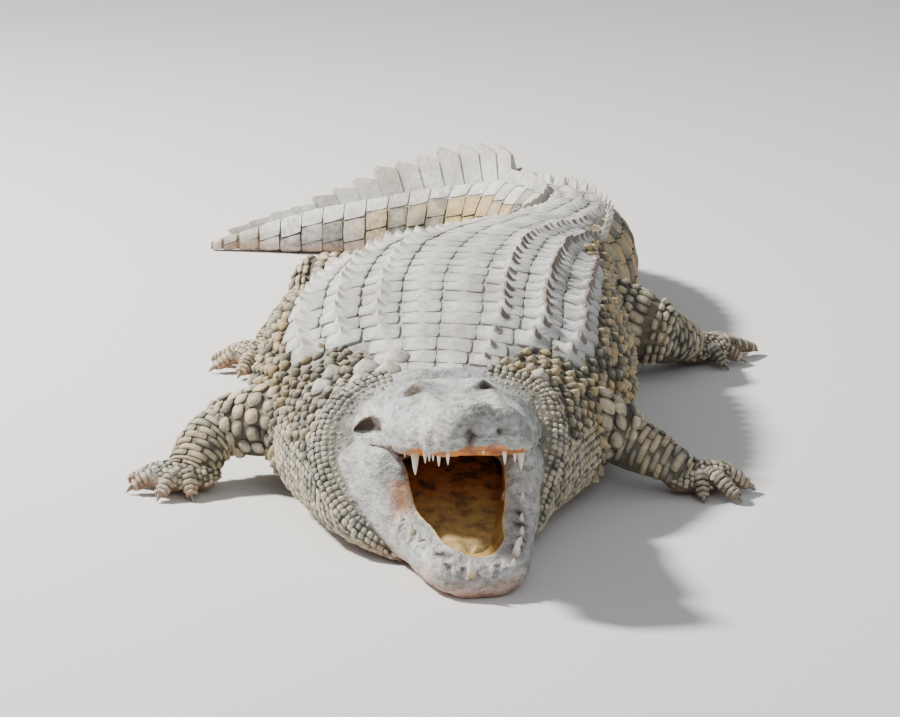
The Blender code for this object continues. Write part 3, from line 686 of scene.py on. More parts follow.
def bodySurface(at, arc):
    at = np.clip(at, 0.01, bodyLength - 0.01)
    angle = bodyAngle(at, arc)
    point = bodyPlace(at, angle)
    along = bodyPlace(at + 0.004, angle) - bodyPlace(at - 0.004, angle)
    around = bodyPlace(at, angle + 0.02) - bodyPlace(at, angle - 0.02)
    normal = unit(np.cross(along, around))
    centre = smoothRows(body["rows"], at, bodyKnots)
    away = point - np.stack([centre[:, 0], centre[:, 1], centre[:, 4]], axis=1)
    normal *= np.where((normal * away).sum(axis=1) < 0, -1, 1)[:, None]
    return point + normal * bodyFolds(point)[:, None], normal


def rollTables():
    # the edge of the body at the crease in even steps from the ridge of the back, and the way inward from it
    angles = np.linspace(-3.05, 3.05, 245)
    stations = np.linspace(0.62, 0.012, 152)
    edge = np.empty((len(angles), 3))
    for i, angle in enumerate(angles):
        points = bodyPlace(stations, np.full(len(stations), angle))
        crossing = np.interp(0.0, beyondCrease(points), stations)
        edge[i] = bodyPlace(np.array([crossing]), np.array([angle]))[0]
    reach = pathLengths(edge)
    reach -= np.interp(0.0, angles, reach)
    even = np.linspace(reach[0], reach[-1], 181)
    edge = np.stack([np.interp(even, reach, edge[:, k]) for k in range(3)], axis=1)
    inward = unit(np.cross(creaseWay, np.gradient(edge, axis=0)))
    toMiddle = edge.mean(axis=0) - edge
    inward *= np.where((inward * toMiddle).sum(axis=1) < 0, -1, 1)[:, None]
    return even, edge, inward


rollArcs, rollEdge, rollInward = rollTables()
rollProfile = np.array([*head["roll"], (0.140, 0.024)])
rollReach = pathLengths(rollProfile)


def rollSurface(at, arc):
    # at runs over the roll from the crease toward the head
    edge = np.stack([np.interp(arc, rollArcs, rollEdge[:, k]) for k in range(3)], axis=1)
    inward = unit(np.stack([np.interp(arc, rollArcs, rollInward[:, k]) for k in range(3)], axis=1))
    inner, outer = (np.interp(at, rollReach, rollProfile[:, k]) for k in range(2))
    low, high = np.maximum(at - 0.006, 0.0), np.maximum(at + 0.006, 0.012)
    turnIn, turnOut = (np.interp(high, rollReach, column) - np.interp(low, rollReach, column)
                       for column in rollProfile.T)
    normal = unit(creaseWay * turnIn[:, None] - inward * turnOut[:, None])
    return edge + inward * inner[:, None] + creaseWay * outer[:, None], normal


def limbSurface(rows):
    place, start, end = limbPlace(rows)
    points = np.array(rows, float)
    knots = pathLengths(points[:, :3])

    def surface(at, arc):
        at = np.clip(at, start + 0.002, end - 0.002)
        row = smoothRows(points, at, knots)
        angle = arc / ((row[:, 3] + row[:, 4]) / 2)
        point = place(at, angle)
        along = place(at + 0.002, angle) - place(at - 0.002, angle)
        around = place(at, angle + 0.04) - place(at, angle - 0.04)
        normal = unit(np.cross(along, around))
        normal *= np.where((normal * (point - row[:, :3])).sum(axis=1) < 0, -1, 1)[:, None]
        return point + normal * limbFolds(point)[:, None], normal

    return surface, start, end, knots[-1]


def plateForm(rows, columns):
    # a closed plate: a grid on top, a skirt round it and one face below
    form = bmesh.new()
    bmesh.ops.create_grid(form, x_segments=rows, y_segments=columns, size=0.5)
    bmesh.ops.translate(form, vec=(0, 0, 1), verts=form.verts[:])
    skirt = bmesh.ops.extrude_edge_only(form, edges=[e for e in form.edges if e.is_boundary])["geom"]
    bmesh.ops.translate(form, vec=(0, 0, -1), verts=[g for g in skirt if isinstance(g, bmesh.types.BMVert)])
    bmesh.ops.holes_fill(form, edges=[e for e in form.edges if e.is_boundary], sides=0)
    bmesh.ops.recalc_face_normals(form, faces=form.faces[:])
    form.verts.ensure_lookup_table()
    points = np.array([v.co for v in form.verts])
    faces = [[v.index for v in f.verts] for f in form.faces]
    form.free()
    return points, faces


def meshFromArrays(name, points, faces, attributes, places):
    # joins as many copies of one form's faces as there are places; each point keeps its attributes
    form, count = faces
    corners = np.concatenate([np.array(f) for f in form])
    sizes = np.array([len(f) for f in form])
    perCopy = len(points) // count
    loops = (corners[None, :] + (np.arange(count) * perCopy)[:, None]).ravel()
    starts = np.concatenate([[0], np.cumsum(np.tile(sizes, count))[:-1]])
    mesh = bpy.data.meshes.new(name)
    mesh.vertices.add(len(points))
    mesh.loops.add(len(loops))
    mesh.polygons.add(len(starts))
    mesh.vertices.foreach_set("co", points.astype(np.float32).ravel())
    mesh.loops.foreach_set("vertex_index", loops.astype(np.int32))
    mesh.polygons.foreach_set("loop_start", starts.astype(np.int32))
    mesh.update(calc_edges=True)
    for key, values in attributes.items():
        mark(mesh, key, values)
    layer = mesh.uv_layers.new(name="OFBake")
    layer.data.foreach_set("uv", places[loops].astype(np.float32).ravel())
    mesh.polygons.foreach_set("use_smooth", np.ones(len(starts), bool))
    mesh.set_sharp_from_angle(angle=math.radians(50))
    return newObject(name, mesh)


bakePatch = 0.003  # across one scale's patch on the map


def pick(spots, keep):
    return {key: values[keep] for key, values in spots.items()}


def layScales(name, surface, form, spots, shape, corner=0.16, coat=0.006, marks=None, atlas=None, past=0.0,
              above=-0.001):
    # spots: arrays of at, arc, length, width, height, turn, tone
    # shape(u, v) is the height's share over a plate
    points, faces = form
    middles = surface(spots["at"], spots["arc"])[0]
    keep = exposed(middles, above) & (beyondCrease(middles) < spots["length"] * 0.2 + past)
    spots = pick(spots, keep)
    count = len(spots["at"])
    if not count:
        return None
    u = np.tile(points[:, 0], count)
    v = np.tile(points[:, 1], count)
    w = np.tile(points[:, 2], count)
    each = {key: np.repeat(values, len(points)) for key, values in spots.items()}
    pull = 1 - corner * (2 * u) ** 2 * (2 * v) ** 2
    along, across = u * pull * each["length"], v * pull * each["width"]
    turn = each["turn"]
    at = each["at"] + along * np.cos(turn) - across * np.sin(turn)
    arc = each["arc"] + along * np.sin(turn) + across * np.cos(turn)
    base, normal = surface(at, arc)
    rise = shape(u, v)
    lift = w * (rise * each["height"]) - coat * 0.75 - (1 - w) * 0.004
    place = base + normal * lift[:, None]
    place[:, 2] = np.maximum(place[:, 2], floorGap * 0.5)
    crown = w * np.clip(rise, 0, 1)
    values = dict(crown=crown, tone=each["tone"])
    # one side of each keel turns dark brown: partly the keels' own brown, partly painted shade on the side
    # away from the key lamp
    if "keel" in spots:
        keelBrownAndShade = w * (v > -0.01) * (v < 0.2) * blend(-0.45, 0.10, u)
        values["keel"] = keelBrownAndShade * each["keel"]
    for key, number in (marks or {}).items():
        numbers = number[keep] if np.ndim(number) else np.full(count, float(number))
        values[key] = numbers.repeat(len(points))
    root = atlas(spots["at"], spots["arc"]).repeat(len(points), axis=0)
    places = root + np.stack([u, v], axis=1) * bakePatch
    return meshFromArrays(name, place, (faces, count), values, places)


def bodyAtlas(at, arc):
    return np.stack([0.02 + 0.96 * at / bodyLength, 0.60 + 0.38 * arc / halfGirths.max()], axis=1)


def limbAtlas(slot):
    def place(at, arc):
        return np.stack([0.04 + slot % 6 * 0.16 + np.clip(at, -0.1, 0.3) * 0.3,
                         0.03 + slot // 6 * 0.045 + np.clip(arc, -0.15, 0.15) * 0.12], axis=1)
    return place


def gridSpots(start, end, spacing, arcsAt, jitter=0.1, brick=True):
    # rows of scales across the body, one row each spacing(at); arcsAt(at) gives the row's arcs and widths
    spots = dict(at=[], arc=[], length=[], width=[])
    at, row = start, 0
    while at < end:
        step = spacing(at)
        arcs, widths = arcsAt(at, row if brick else 0)
        spots["at"] += [at] * len(arcs)
        spots["arc"] += list(arcs)
        spots["length"] += [step] * len(arcs)
        spots["width"] += list(widths)
        at += step
        row += 1
    spots = {key: np.array(values, float) for key, values in spots.items()}
    count = len(spots["at"])
    spots["at"] += dice.uniform(-jitter, jitter, count) * spots["length"]
    spots["arc"] += dice.uniform(-jitter, jitter, count) * spots["width"]
    spots["turn"] = dice.uniform(-1.2, 1.2, count) * jitter
    spots["tone"] = dice.uniform(0, 1, count)
    return spots


def evenArcs(low, high, width, row):
    # both sides from low to high, in steps of about width
    count = max(int((high - low) / width), 1)
    step = (high - low) / count
    arcs = low + step * (np.arange(count) + (0.5 if row % 2 else 0.1))
    arcs = np.concatenate([-arcs[::-1], arcs])
    return arcs, np.full(len(arcs), step)


scaleForms = dict(large=plateForm(6, 6), small=plateForm(4, 4), bead=plateForm(3, 3))


def domed(u, v):
    return 0.35 + 0.65 * (1 - (2 * np.abs(u)) ** 2.6) * (1 - (2 * np.abs(v)) ** 2.6)


def flat(u, v):
    # a tail's plate, nearly level
    return 0.44 + 0.26 * (1 - (2 * np.abs(u)) ** 4) * (1 - (2 * np.abs(v)) ** 4)


def keeledTo(sharp, back):
    # a dome with a keel along it that is highest toward the back end
    def shape(u, v):
        dome = 0.30 * (1 - (2 * np.abs(u)) ** 3) * (1 - (2 * np.abs(v)) ** 3)
        ridge = hump(v, sharp) * blend(-0.5, back, u) * blend(0.5, back + 0.08, u)
        return 0.22 + dome + 0.9 * ridge
    return shape


def blunt(u, v):
    # a high dome with a soft keel
    dome = (1 - (2 * np.abs(u)) ** 2.4) * (1 - (2 * np.abs(v)) ** 2.4)
    return 0.12 + 0.62 * dome + 0.40 * hump(v, 0.16) * blend(-0.5, 0.05, u) * blend(0.5, 0.30, u)


def knobbed(u, v):
    # a round knob with a blunt point
    far = np.clip(np.hypot(u, v) * 2, 0, 1.2)
    return np.clip(0.20 + 0.62 * (1 - far ** 2.2) + 0.25 * hump(far, 0.35), 0.08, 2)


coat = []


def addCoat(piece, finishName):
    if piece is not None:
        coat.append((piece, finishName))
        print(piece.name, len(piece.data.polygons), "faces")


def bodyWidth(at):
    return smoothRows(body["rows"], np.atleast_1d(at), bodyKnots)[:, 2]


dorsal = dict(end=2.02, spacing=0.059, rows=(0.042, 0.128, 0.214, 0.298), width=0.083, height=0.021,
              front=(0.41, 0.66), narrows=(1.55, 1.62))


def shieldScale(at):
    # the back's rows draw together toward the neck and the tail
    return np.minimum(1.0, 0.30 + 0.70 * bodyWidth(at) / 0.385) * blend(0.10, 0.80, at) ** 0.5


def onShield(at, arc, margin=0.0):
    share = np.abs(arc) / shieldScale(at)
    outermost = np.interp(at, dorsal["narrows"], (dorsal["rows"][3], dorsal["rows"][2]))
    front = dorsal["front"][0] + (dorsal["front"][1] - dorsal["front"][0]) * blend(0.07, 0.26, share)
    return (share < outermost + dorsal["width"] / 2 - margin) & (at > front - 0.02)


def makeDorsal():
    # the back's keeled plates
    def arcsAt(at, row):
        scale = float(shieldScale(np.array([at]))[0])
        arcs = np.array(dorsal["rows"][:4 if at < 1.58 else 3]) * scale
        both = np.concatenate([-arcs[::-1], arcs])
        return both, np.full(len(both), dorsal["width"] * scale)

    spots = gridSpots(dorsal["front"][0], dorsal["end"], lambda at: dorsal["spacing"], arcsAt, 0.03, False)
    spots = pick(spots, onShield(spots["at"], spots["arc"], 0.01))
    spots["length"] *= 0.97
    out = np.abs(spots["arc"])
    scale = shieldScale(spots["at"]) / shieldScale(np.array([1.1]))
    spots["height"] = dorsal["height"] * scale * (0.30 + 0.70 * blend(0.04, 0.20, out))
    spots["height"] *= dice.uniform(0.8, 1.2, len(out))
    # the keels on the side away from the key lamp get the most of the painted shade on their sides
    spots["keel"] = 0.25 + 0.75 * blend(0.0, 0.16, spots["arc"]) - dice.uniform(0, 0.3, len(out))
    return layScales("dorsal_scutes", bodySurface, scaleForms["large"], spots, keeledTo(0.085, 0.24), 0.08,
                     body["coat"], dict(pale=1.0, warm=0.1), bodyAtlas)


nuchals = dict(
    # distance along, distance round, length, width, height
    places=((0.520, -0.082, 0.062, 0.056, 0.018), (0.458, -0.094, 0.056, 0.054, 0.018),
            (0.492, -0.142, 0.052, 0.052, 0.017), (0.432, -0.148, 0.048, 0.048, 0.015),
            (0.505, -0.212, 0.044, 0.046, 0.018), (0.455, -0.232, 0.044, 0.046, 0.018),
            (0.470, 0.166, 0.048, 0.048, 0.021), (0.428, 0.204, 0.044, 0.044, 0.018),
            (0.500, 0.212, 0.042, 0.042, 0.017), (0.420, 0.140, 0.044, 0.044, 0.018)),
)


def clearOfNuchals(spots):
    clear = np.ones(len(spots["at"]), bool)
    for at, arc, length, width, _ in nuchals["places"]:
        clear &= np.hypot((spots["at"] - at) / (length * 0.62), (spots["arc"] - arc) / (width * 0.62)) > 1
    return clear


def layUneven(name, plan, surface, spots, shape, marks, atlas, past=0.0):
    # scales that differ in size and height
    count = len(spots["at"])
    size = dice.uniform(*plan["sizes"], count)
    spots["length"] *= size
    spots["width"] *= size
    spots["height"] = plan["height"] * size * dice.uniform(*plan["heights"], count)
    return layScales(name, surface, scaleForms[plan["form"]], spots, shape, plan["corner"], body["coat"],
                     marks, atlas, past)


flank = dict(start=0.50, end=1.86, spacing=0.0265, sway=0.004, low=0.04, high=0.80, width=0.0275, jitter=0.16,
             sizes=(0.72, 1.04), height=0.0140, heights=(0.6, 1.35), form="small", corner=0.26)


def makeFlank():
    def spacing(at):
        return flank["spacing"] + flank["sway"] * math.sin(at * 9)

    def arcsAt(at, row):
        return evenArcs(flank["low"], float(halfGirth(at)) * flank["high"], flank["width"], row)

    spots = gridSpots(flank["start"], flank["end"], spacing, arcsAt, flank["jitter"])
    spots = pick(spots, ~onShield(spots["at"], spots["arc"]) & clearOfNuchals(spots))
    pale = 0.22 + 0.5 * blend(0.60, 0.80, np.abs(spots["arc"]) / halfGirth(spots["at"]))
    return layUneven("flank_scales", flank, bodySurface, spots, knobbed,
                     dict(pale=pale, warm=0.85 - 0.3 * pale), bodyAtlas)


nape = dict(start=0.24, end=0.505, spacing=0.021, high=0.45, width=0.023, jitter=0.18,
            sizes=(0.70, 1.08), height=0.0120, heights=(0.6, 1.35), form="small", corner=0.26)


def makeNape():
    # larger knobs on the neck behind the head
    def arcsAt(at, row):
        return evenArcs(0.0, float(halfGirth(at)) * nape["high"], nape["width"], row)

    spots = gridSpots(nape["start"], nape["end"], lambda at: nape["spacing"], arcsAt, nape["jitter"])
    spots = pick(spots, ~onShield(spots["at"], spots["arc"]) & clearOfNuchals(spots))
    return layUneven("nape_scales", nape, bodySurface, spots, knobbed, dict(pale=0.38, warm=0.85), bodyAtlas)


throat = dict(start=0.02, end=0.505, spacing=0.0150, low=0.45, high=0.86, width=0.0150, jitter=0.09,
              sizes=(0.82, 1.0), height=0.0058, heights=(0.7, 1.3), form="bead", corner=0.20)


def makeNeck():
    # small squarish beads round the throat and the neck's sides
    def arcsAt(at, row):
        girth = float(halfGirth(at))
        return evenArcs(girth * throat["low"], girth * throat["high"], throat["width"], 0)

    spots = gridSpots(throat["start"], throat["end"], lambda at: throat["spacing"], arcsAt, throat["jitter"])
    low = np.abs(spots["arc"]) / halfGirth(spots["at"])
    return layUneven("neck_scales", throat, bodySurface, spots, domed,
                     dict(pale=0.42 + 0.45 * blend(0.60, 0.8, low), warm=0.6), bodyAtlas)


collar = dict(start=-0.004, end=0.110, spacing=0.0145, low=0.11, high=0.97, width=0.0155, jitter=0.09,
              sizes=(0.84, 1.0), height=0.0062, heights=(0.7, 1.3), form="bead", corner=0.20,
              clearOfMouth=0.03, atlasSlot=80)


def makeRoll():
    # beads over the roll of hide before the crease
    def arcsAt(at, row):
        return evenArcs(collar["low"], min(rollArcs[-1], -rollArcs[0]) * collar["high"], collar["width"], 0)

    spots = gridSpots(collar["start"], collar["end"], lambda at: collar["spacing"], arcsAt, collar["jitter"])
    middles = rollSurface(spots["at"], spots["arc"])[0]
    clear = [mouthLining.find_nearest(point, collar["clearOfMouth"])[0] is None for point in middles]
    return layUneven("cheek_scales", collar, rollSurface, pick(spots, np.array(clear)), domed,
                     dict(pale=0.50, warm=0.6), limbAtlas(collar["atlasSlot"]), 1.0)


def makeNuchals():
    rows = np.array(nuchals["places"])
    spots = dict(zip(("at", "arc", "length", "width", "height"), rows.T))
    spots["turn"] = dice.uniform(-0.2, 0.2, len(rows))
    spots["tone"] = dice.uniform(0.3, 1, len(rows))
    # the nuchals on the side away from the key lamp get painted shade on their keels, partly their own brown
    spots["keel"] = np.where(spots["arc"] > 0, 0.8, 0.0)
    return layScales("nuchal_scutes", bodySurface, scaleForms["large"], spots, blunt, 0.2,
                     body["coat"] - 0.002, dict(pale=0.62, warm=0.8), bodyAtlas)


tail = dict(start=1.86, end=bodyLength - 0.010, width=0.052, high=0.86, height=0.0085,
            # distance along the body with the whorls' length there, and with their start beside the ridge
            lengths=((1.9, 0.070), (2.85, 0.062), (3.6, 0.056), (bodyLength - 0.010, 0.024)),
            lows=((1.86, 0.12), (2.05, 0.115), (2.84, 0.03), (2.92, 0.004)))


def makeTail():
    # whorls of tall scales, a crest scute's length apart
    def spacing(at):
        return float(np.interp(at, *np.array(tail["lengths"]).T))

    def arcsAt(at, row):
        low = float(np.interp(at, *np.array(tail["lows"]).T))
        high = float(halfGirth(at)) * tail["high"]
        count = max(int(round((high - low) / tail["width"])), 2)
        shares = np.linspace(0, 1, count + 1) ** 1.12
        edges = high - (high - low) * shares[::-1]
        arcs, widths = (edges[1:] + edges[:-1]) / 2, np.diff(edges)
        return np.concatenate([-arcs[::-1], arcs]), np.concatenate([widths[::-1], widths])

    spots = gridSpots(tail["start"], tail["end"], spacing, arcsAt, 0.02, False)
    # neighbours in a whorl share some of their tone
    wave = 0.5 + 0.5 * np.sin(spots["at"] * 47 + np.sin(spots["at"] * 19) * 3)
    spots["tone"] = np.clip(1.3 * (0.30 * spots["tone"] + 0.70 * wave) - 0.15, 0, 1)
    spots["length"] *= 0.95
    spots["width"] *= 0.95
    spots["height"] = tail["height"] * np.interp(spots["at"], (1.9, 3.7), (1.1, 0.5))
    spots["height"] *= dice.uniform(0.8, 1.2, len(spots["at"]))
    share = np.abs(spots["arc"]) / halfGirth(spots["at"])
    pale = 0.10 + 0.6 * blend(0.34, 0.14, share) + 0.5 * blend(3.20, 3.42, spots["at"])
    warm = 1.0 - 0.8 * blend(3.18, 3.40, spots["at"])
    return layScales("tail_scales", bodySurface, scaleForms["small"], spots, flat, 0.06, body["coat"],
                     dict(pale=pale, warm=warm), bodyAtlas)


tailTop = dict(start=2.03, end=2.86, spacing=0.066, width=0.05, height=0.009,
               # distance along the body and half the width between the crests there
               halfWidths=((2.02, 0.105), (2.4, 0.085), (2.84, 0.03)))


def makeTailTop():
    # the flat plates between the two crests
    def arcsAt(at, row):
        wide = float(np.interp(at, *np.array(tailTop["halfWidths"]).T))
        count = max(int(round(2 * wide / tailTop["width"])), 1)
        step = 2 * wide / count
        arcs = -wide + step * (np.arange(count) + 0.5)
        return arcs, np.full(count, step)

    spots = gridSpots(tailTop["start"], tailTop["end"], lambda at: tailTop["spacing"], arcsAt, 0.03, False)
    spots["length"] *= 0.95
    spots["width"] *= 0.94
    spots["height"] = np.full(len(spots["at"]), tailTop["height"])
    return layScales("tail_top_scales", bodySurface, scaleForms["small"], spots, keeledTo(0.15, 0.15), 0.10,
                     body["coat"], dict(pale=0.9, warm=0.15), bodyAtlas)


crest = dict(
    # start, end, number, which sides, angle from the ridge at both ends, and height along the body as shares
    rows=(dict(start=1.93, end=2.84, number=14, hands=(-1, 1), angles=(0.80, 0.18),
               tall=((1.93, 0.28), (2.84, 0.58))),
          dict(start=2.90, end=3.64, number=14, hands=(1,), angles=(0.0, 0.0),
               tall=((2.90, 1.66), (3.12, 1.60), (3.28, 1.06), (3.36, 0.72), (3.46, 0.34), (3.64, 0.16)))),
    # the blade's outline: share along it and share of its height
    outline=((-1, 0.76), (-0.6, 0.86), (-0.2, 0.92), (0.2, 0.98), (0.6, 1.05), (1, 0.90)),
    height=0.056, thick=0.013, thickest=1.2, sunk=0.012, fill=1.08, turn=0.0025, lean=0.30, splay=0.5,
)


def makeCrests():
    # upright scutes: thin blades that lean back, each overlapping the next a little
    form, faces = plateForm(5, 2)
    u, v, w = form.T * [[2], [2], [1]]
    peak = np.interp(u, *np.array(crest["outline"]).T)
    allPoints, tones, places = [], [], []
    for row in crest["rows"]:
        stations = np.linspace(row["start"], row["end"], row["number"])
        spacing = stations[1] - stations[0]
        for at, angle in zip(stations, np.linspace(*row["angles"], row["number"])):
            size = float(np.interp(at, *np.array(row["tall"]).T))
            for hand in row["hands"]:
                around = hand * angle
                pair = bodyPlace(np.array([at - spacing / 2, at + spacing / 2]), np.array([around, around]))
                root, reach = pair.mean(axis=0), (pair[1] - pair[0]) * crest["fill"] / 2
                way = reach / np.linalg.norm(reach)
                across = np.cross(way, (0.0, 0.0, 1.0))
                rise = np.cross(across, way) + across * math.sin(around) * crest["splay"]
                tall = crest["height"] * size * dice.uniform(0.9, 1.1)
                up = w * peak * tall - (1 - w) * crest["sunk"]
                thin = crest["thick"] * min(size, crest["thickest"]) * (1 - 0.72 * w)
                allPoints.append(root + np.outer(u + crest["lean"] * w * peak, reach)
                                 + np.outer(v * thin + u * crest["turn"], across) + np.outer(up, rise))
                tones.append(dice.uniform(0, 1))
                places.append(bodyAtlas(np.array([at]), np.array([around * 0.1])) + form[:, :2] * bakePatch)
    count = len(tones)
    values = dict(crown=np.tile(0.42 + w * 0.38, count), tone=np.repeat(tones, len(form)),
                  pale=np.full(count * len(form), 0.82), warm=np.full(count * len(form), 0.4))
    return meshFromArrays("tail_crests", np.concatenate(allPoints), (faces, count), values,
                          np.concatenate(places))


limbScales = dict(
    upper=dict(step=0.032, width=0.033, height=0.0100, jitter=0.12, corner=0.20, pale=0.40, warm=0.9),
    lower=dict(step=0.0140, width=0.044, height=0.0052, jitter=0.05, corner=0.12, pale=0.24, warm=0.45),
    hind=dict(step=0.85, width=0.80, height=0.8),  # the hind legs' shares of the sizes above
    sizes=(0.80, 0.98), heights=(0.75, 1.2), fill=0.94, sunk=0.007,
)
footScales = dict(palmStep=0.013, palmWidth=0.016, palmHeight=0.0034, digitStep=0.0115, digitHeight=0.0038)


def makeLengthScales(name, rows, plan, shares, slotNumber):
    # bands of scales round one length of a leg, over its round ends too
    surface, start, end, length = limbSurface(rows)
    half = (rows[0][3] + rows[0][4] + rows[-1][3] + rows[-1][4]) / 4
    step, width, height = (plan[key] * shares.get(key, 1.0) for key in ("step", "width", "height"))

    def narrowing(at):
        # the round ends' share of the full width
        past = max((at - length) / (end - length), at / start, 0.0)
        return max(math.sqrt(max(1 - past ** 2, 0.0)), 0.25)

    def arcsAt(at, row):
        return evenArcs(0.0, half * 2.5, width / narrowing(at), row)

    def stride(at):
        # a step over the round end keeps its length on the surface
        if at + step < length:
            return step
        turned = math.asin(min(max((at - length) / (end - length), 0.0), 1.0)) + 0.85 * step / rows[-1][3]
        return max(length + (end - length) * math.sin(min(turned, 1.45)) - at, 0.004)

    spots = gridSpots(start + 0.01, end - 0.003, stride, arcsAt, plan["jitter"])
    size = dice.uniform(*limbScales["sizes"], len(spots["at"]))
    spots["length"] *= limbScales["fill"] * (size if plan is limbScales["upper"] else 1)
    spots["width"] *= size
    spots["height"] = height * dice.uniform(*limbScales["heights"], len(spots["at"]))
    marks = dict(pale=plan["pale"], warm=plan["warm"])
    return layScales(name, surface, scaleForms["small"], spots, domed, plan["corner"], limbCoat, marks,
                     limbAtlas(slotNumber), above=-limbScales["sunk"])


def makeFootScales(leg, palm, tips, slotNumber):
    surface, start, end, _ = limbSurface(palmRows(leg))
    spots = gridSpots(start + 0.004, end - 0.004, lambda at: footScales["palmStep"],
                      lambda at, row: evenArcs(0.0, palm[3] * 1.6, footScales["palmWidth"], row), 0.14)
    spots["length"] *= 0.86
    spots["width"] *= 0.88
    spots["height"] = np.full(len(spots["at"]), footScales["palmHeight"])
    marks = dict(pale=0.4, warm=0.4)
    feet = [layScales("palm", surface, scaleForms["bead"], spots, domed, 0.2, digits["coat"], marks,
                      limbAtlas(slotNumber))]
    around = np.array([0.0]), np.array([digits["root"] * 2.6])
    for tip in tips:
        surface, start, end, _ = limbSurface(digitRows(palm, tip))
        spots = gridSpots(start + 0.006, end - 0.004, lambda at: footScales["digitStep"],
                          lambda at, row: around, 0.02, False)
        spots["length"] *= 0.86
        spots["height"] = np.full(len(spots["at"]), footScales["digitHeight"])
        feet.append(layScales("digit", surface, scaleForms["small"], spots, domed, 0.10, digits["coat"],
                              marks, limbAtlas(slotNumber + 1)))
    return joinForms(f"{leg}_foot_scales", feet)


def makeLimbScales():
    for number, (leg, (upper, lower, palm, tips)) in enumerate(legs.items()):
        shares = limbScales["hind"] if leg.startswith("leg") else {}
        slotNumber = 4 * number
        for part, rows in (("upper", upper), ("lower", lower)):
            name = f"{leg}_{part}_scales"
            addCoat(makeLengthScales(name, rows, limbScales[part], shares, slotNumber), "hide")
            slotNumber += 1
        addCoat(makeFootScales(leg, palm, tips, slotNumber), "hide")


addCoat(makeDorsal(), "hide")
addCoat(makeFlank(), "hide")
addCoat(makeNape(), "hide")
addCoat(makeNeck(), "hide")
addCoat(makeRoll(), "hide")
addCoat(makeNuchals(), "hide")
addCoat(makeTail(), "hide")
addCoat(makeTailTop(), "hide")
addCoat(makeCrests(), "hide")
makeLimbScales()


class Value:
    # a number that varies over the surface: Python's operators on it add the Math nodes
    def __init__(self, graph, socket):
        self.graph = graph
        self.socket = socket

    def calc(self, operation, *others, first=None):
        terms = ([self] if first is None else [first, self]) + list(others)
        node = self.graph.add("ShaderNodeMath", dict(operation=operation), dict(enumerate(terms)))
        return Value(self.graph, node.outputs[0])

    def __add__(self, other):
        return self.calc("ADD", other)

    def __radd__(self, other):
        return self.calc("ADD", other)

    def __sub__(self, other):
        return self.calc("SUBTRACT", other)

    def __rsub__(self, other):
        return self.calc("SUBTRACT", first=other)

    def __mul__(self, other):
        return self.calc("MULTIPLY", other)

    def __rmul__(self, other):
        return self.calc("MULTIPLY", other)

    def __truediv__(self, other):
        return self.calc("DIVIDE", other)


class Graph:
    # one material's nodes round its Principled shader
    def __init__(self, name):
        self.material = bpy.data.materials.new(name)
        self.material.use_nodes = True
        self.tree = self.material.node_tree
        self.shader = self.tree.nodes["Principled BSDF"]

    def add(self, kind, settings, values):
        node = self.tree.nodes.new(kind)
        for key, setting in settings.items():
            if key == "stops":
                ramp = node.color_ramp
                while len(ramp.elements) < len(setting):
                    ramp.elements.new(0.5)
                for element, (at, colour) in zip(ramp.elements, setting):
                    element.position = at
                    element.color = colour
            else:
                setattr(node, key, setting)
        for key, value in values.items():
            self.feed(node.inputs[key], value)
        return node

    def feed(self, socket, value):
        if isinstance(value, Value):
            self.tree.links.new(value.socket, socket)
        elif socket.type == "RGBA" and len(value) == 3:
            socket.default_value = (*value, 1.0)
        else:
            socket.default_value = value

    def place(self):
        return Value(self, self.add("ShaderNodeTexCoord", {}, {}).outputs["Object"])

    def attribute(self, name):
        return Value(self, self.add("ShaderNodeAttribute", dict(attribute_name=name), {}).outputs["Fac"])

    def noise(self, scale, detail=3.0, rough=0.55, stretch=None):
        where = self.place()
        if stretch is not None:
            node = self.add("ShaderNodeMapping", {}, {"Vector": where, "Scale": stretch})
            where = Value(self, node.outputs[0])
        node = self.add("ShaderNodeTexNoise", {},
                        {"Vector": where, "Scale": scale, "Detail": detail, "Roughness": rough})
        return Value(self, node.outputs["Fac"])

    def cells(self, scale, feature="DISTANCE_TO_EDGE"):
        node = self.add("ShaderNodeTexVoronoi", dict(feature=feature),
                        {"Vector": self.place(), "Scale": scale})
        return Value(self, node.outputs["Distance"])

    def between(self, value, low, high):
        # 0 below low, 1 above high
        node = self.add("ShaderNodeMapRange", dict(interpolation_type="SMOOTHSTEP", clamp=True),
                        {"Value": value, "From Min": low, "From Max": high})
        return Value(self, node.outputs["Result"])

    def mix(self, factor, a, b, way="MIX"):
        node = self.add("ShaderNodeMix", dict(data_type="RGBA", blend_type=way, clamp_factor=True), {})
        self.feed(node.inputs[0], factor)
        self.feed(node.inputs[6], a)
        self.feed(node.inputs[7], b)
        return Value(self, node.outputs[2])

    def height(self):
        node = self.add("ShaderNodeSeparateXYZ", {}, {0: self.place()})
        return Value(self, node.outputs["Z"])

    def finish(self, colour, roughness, bump=None, distance=0.002, strength=0.6):
        self.feed(self.shader.inputs["Base Color"], colour)
        self.feed(self.shader.inputs["Roughness"], roughness)
        if bump is not None:
            node = self.add("ShaderNodeBump", {},
                            {"Height": bump, "Distance": distance, "Strength": strength})
            self.tree.links.new(node.outputs[0], self.shader.inputs["Normal"])
        return self.material


# The keel tone is partly the keels' own brown and partly painted shade; the reddish tone low down is partly
# red soil on the hide and partly painted light reflected from the ground; the crowns' pale yellow is partly
# their own colour and partly a painted highlight.
hideTones = dict(
    pale=(0.62, 0.62, 0.60), stain=(0.37, 0.355, 0.31), crownPaleAndHighlight=(0.64, 0.56, 0.38), tan=(0.40, 0.30, 0.155),
    ochre=(0.44, 0.29, 0.09), dark=(0.10, 0.094, 0.072), grey=(0.29, 0.27, 0.20),
    joint=(0.050, 0.038, 0.024), keel=(0.115, 0.070, 0.048), dustAndGroundLight=(0.50, 0.215, 0.105),
    blue=(0.40, 0.42, 0.42),
)


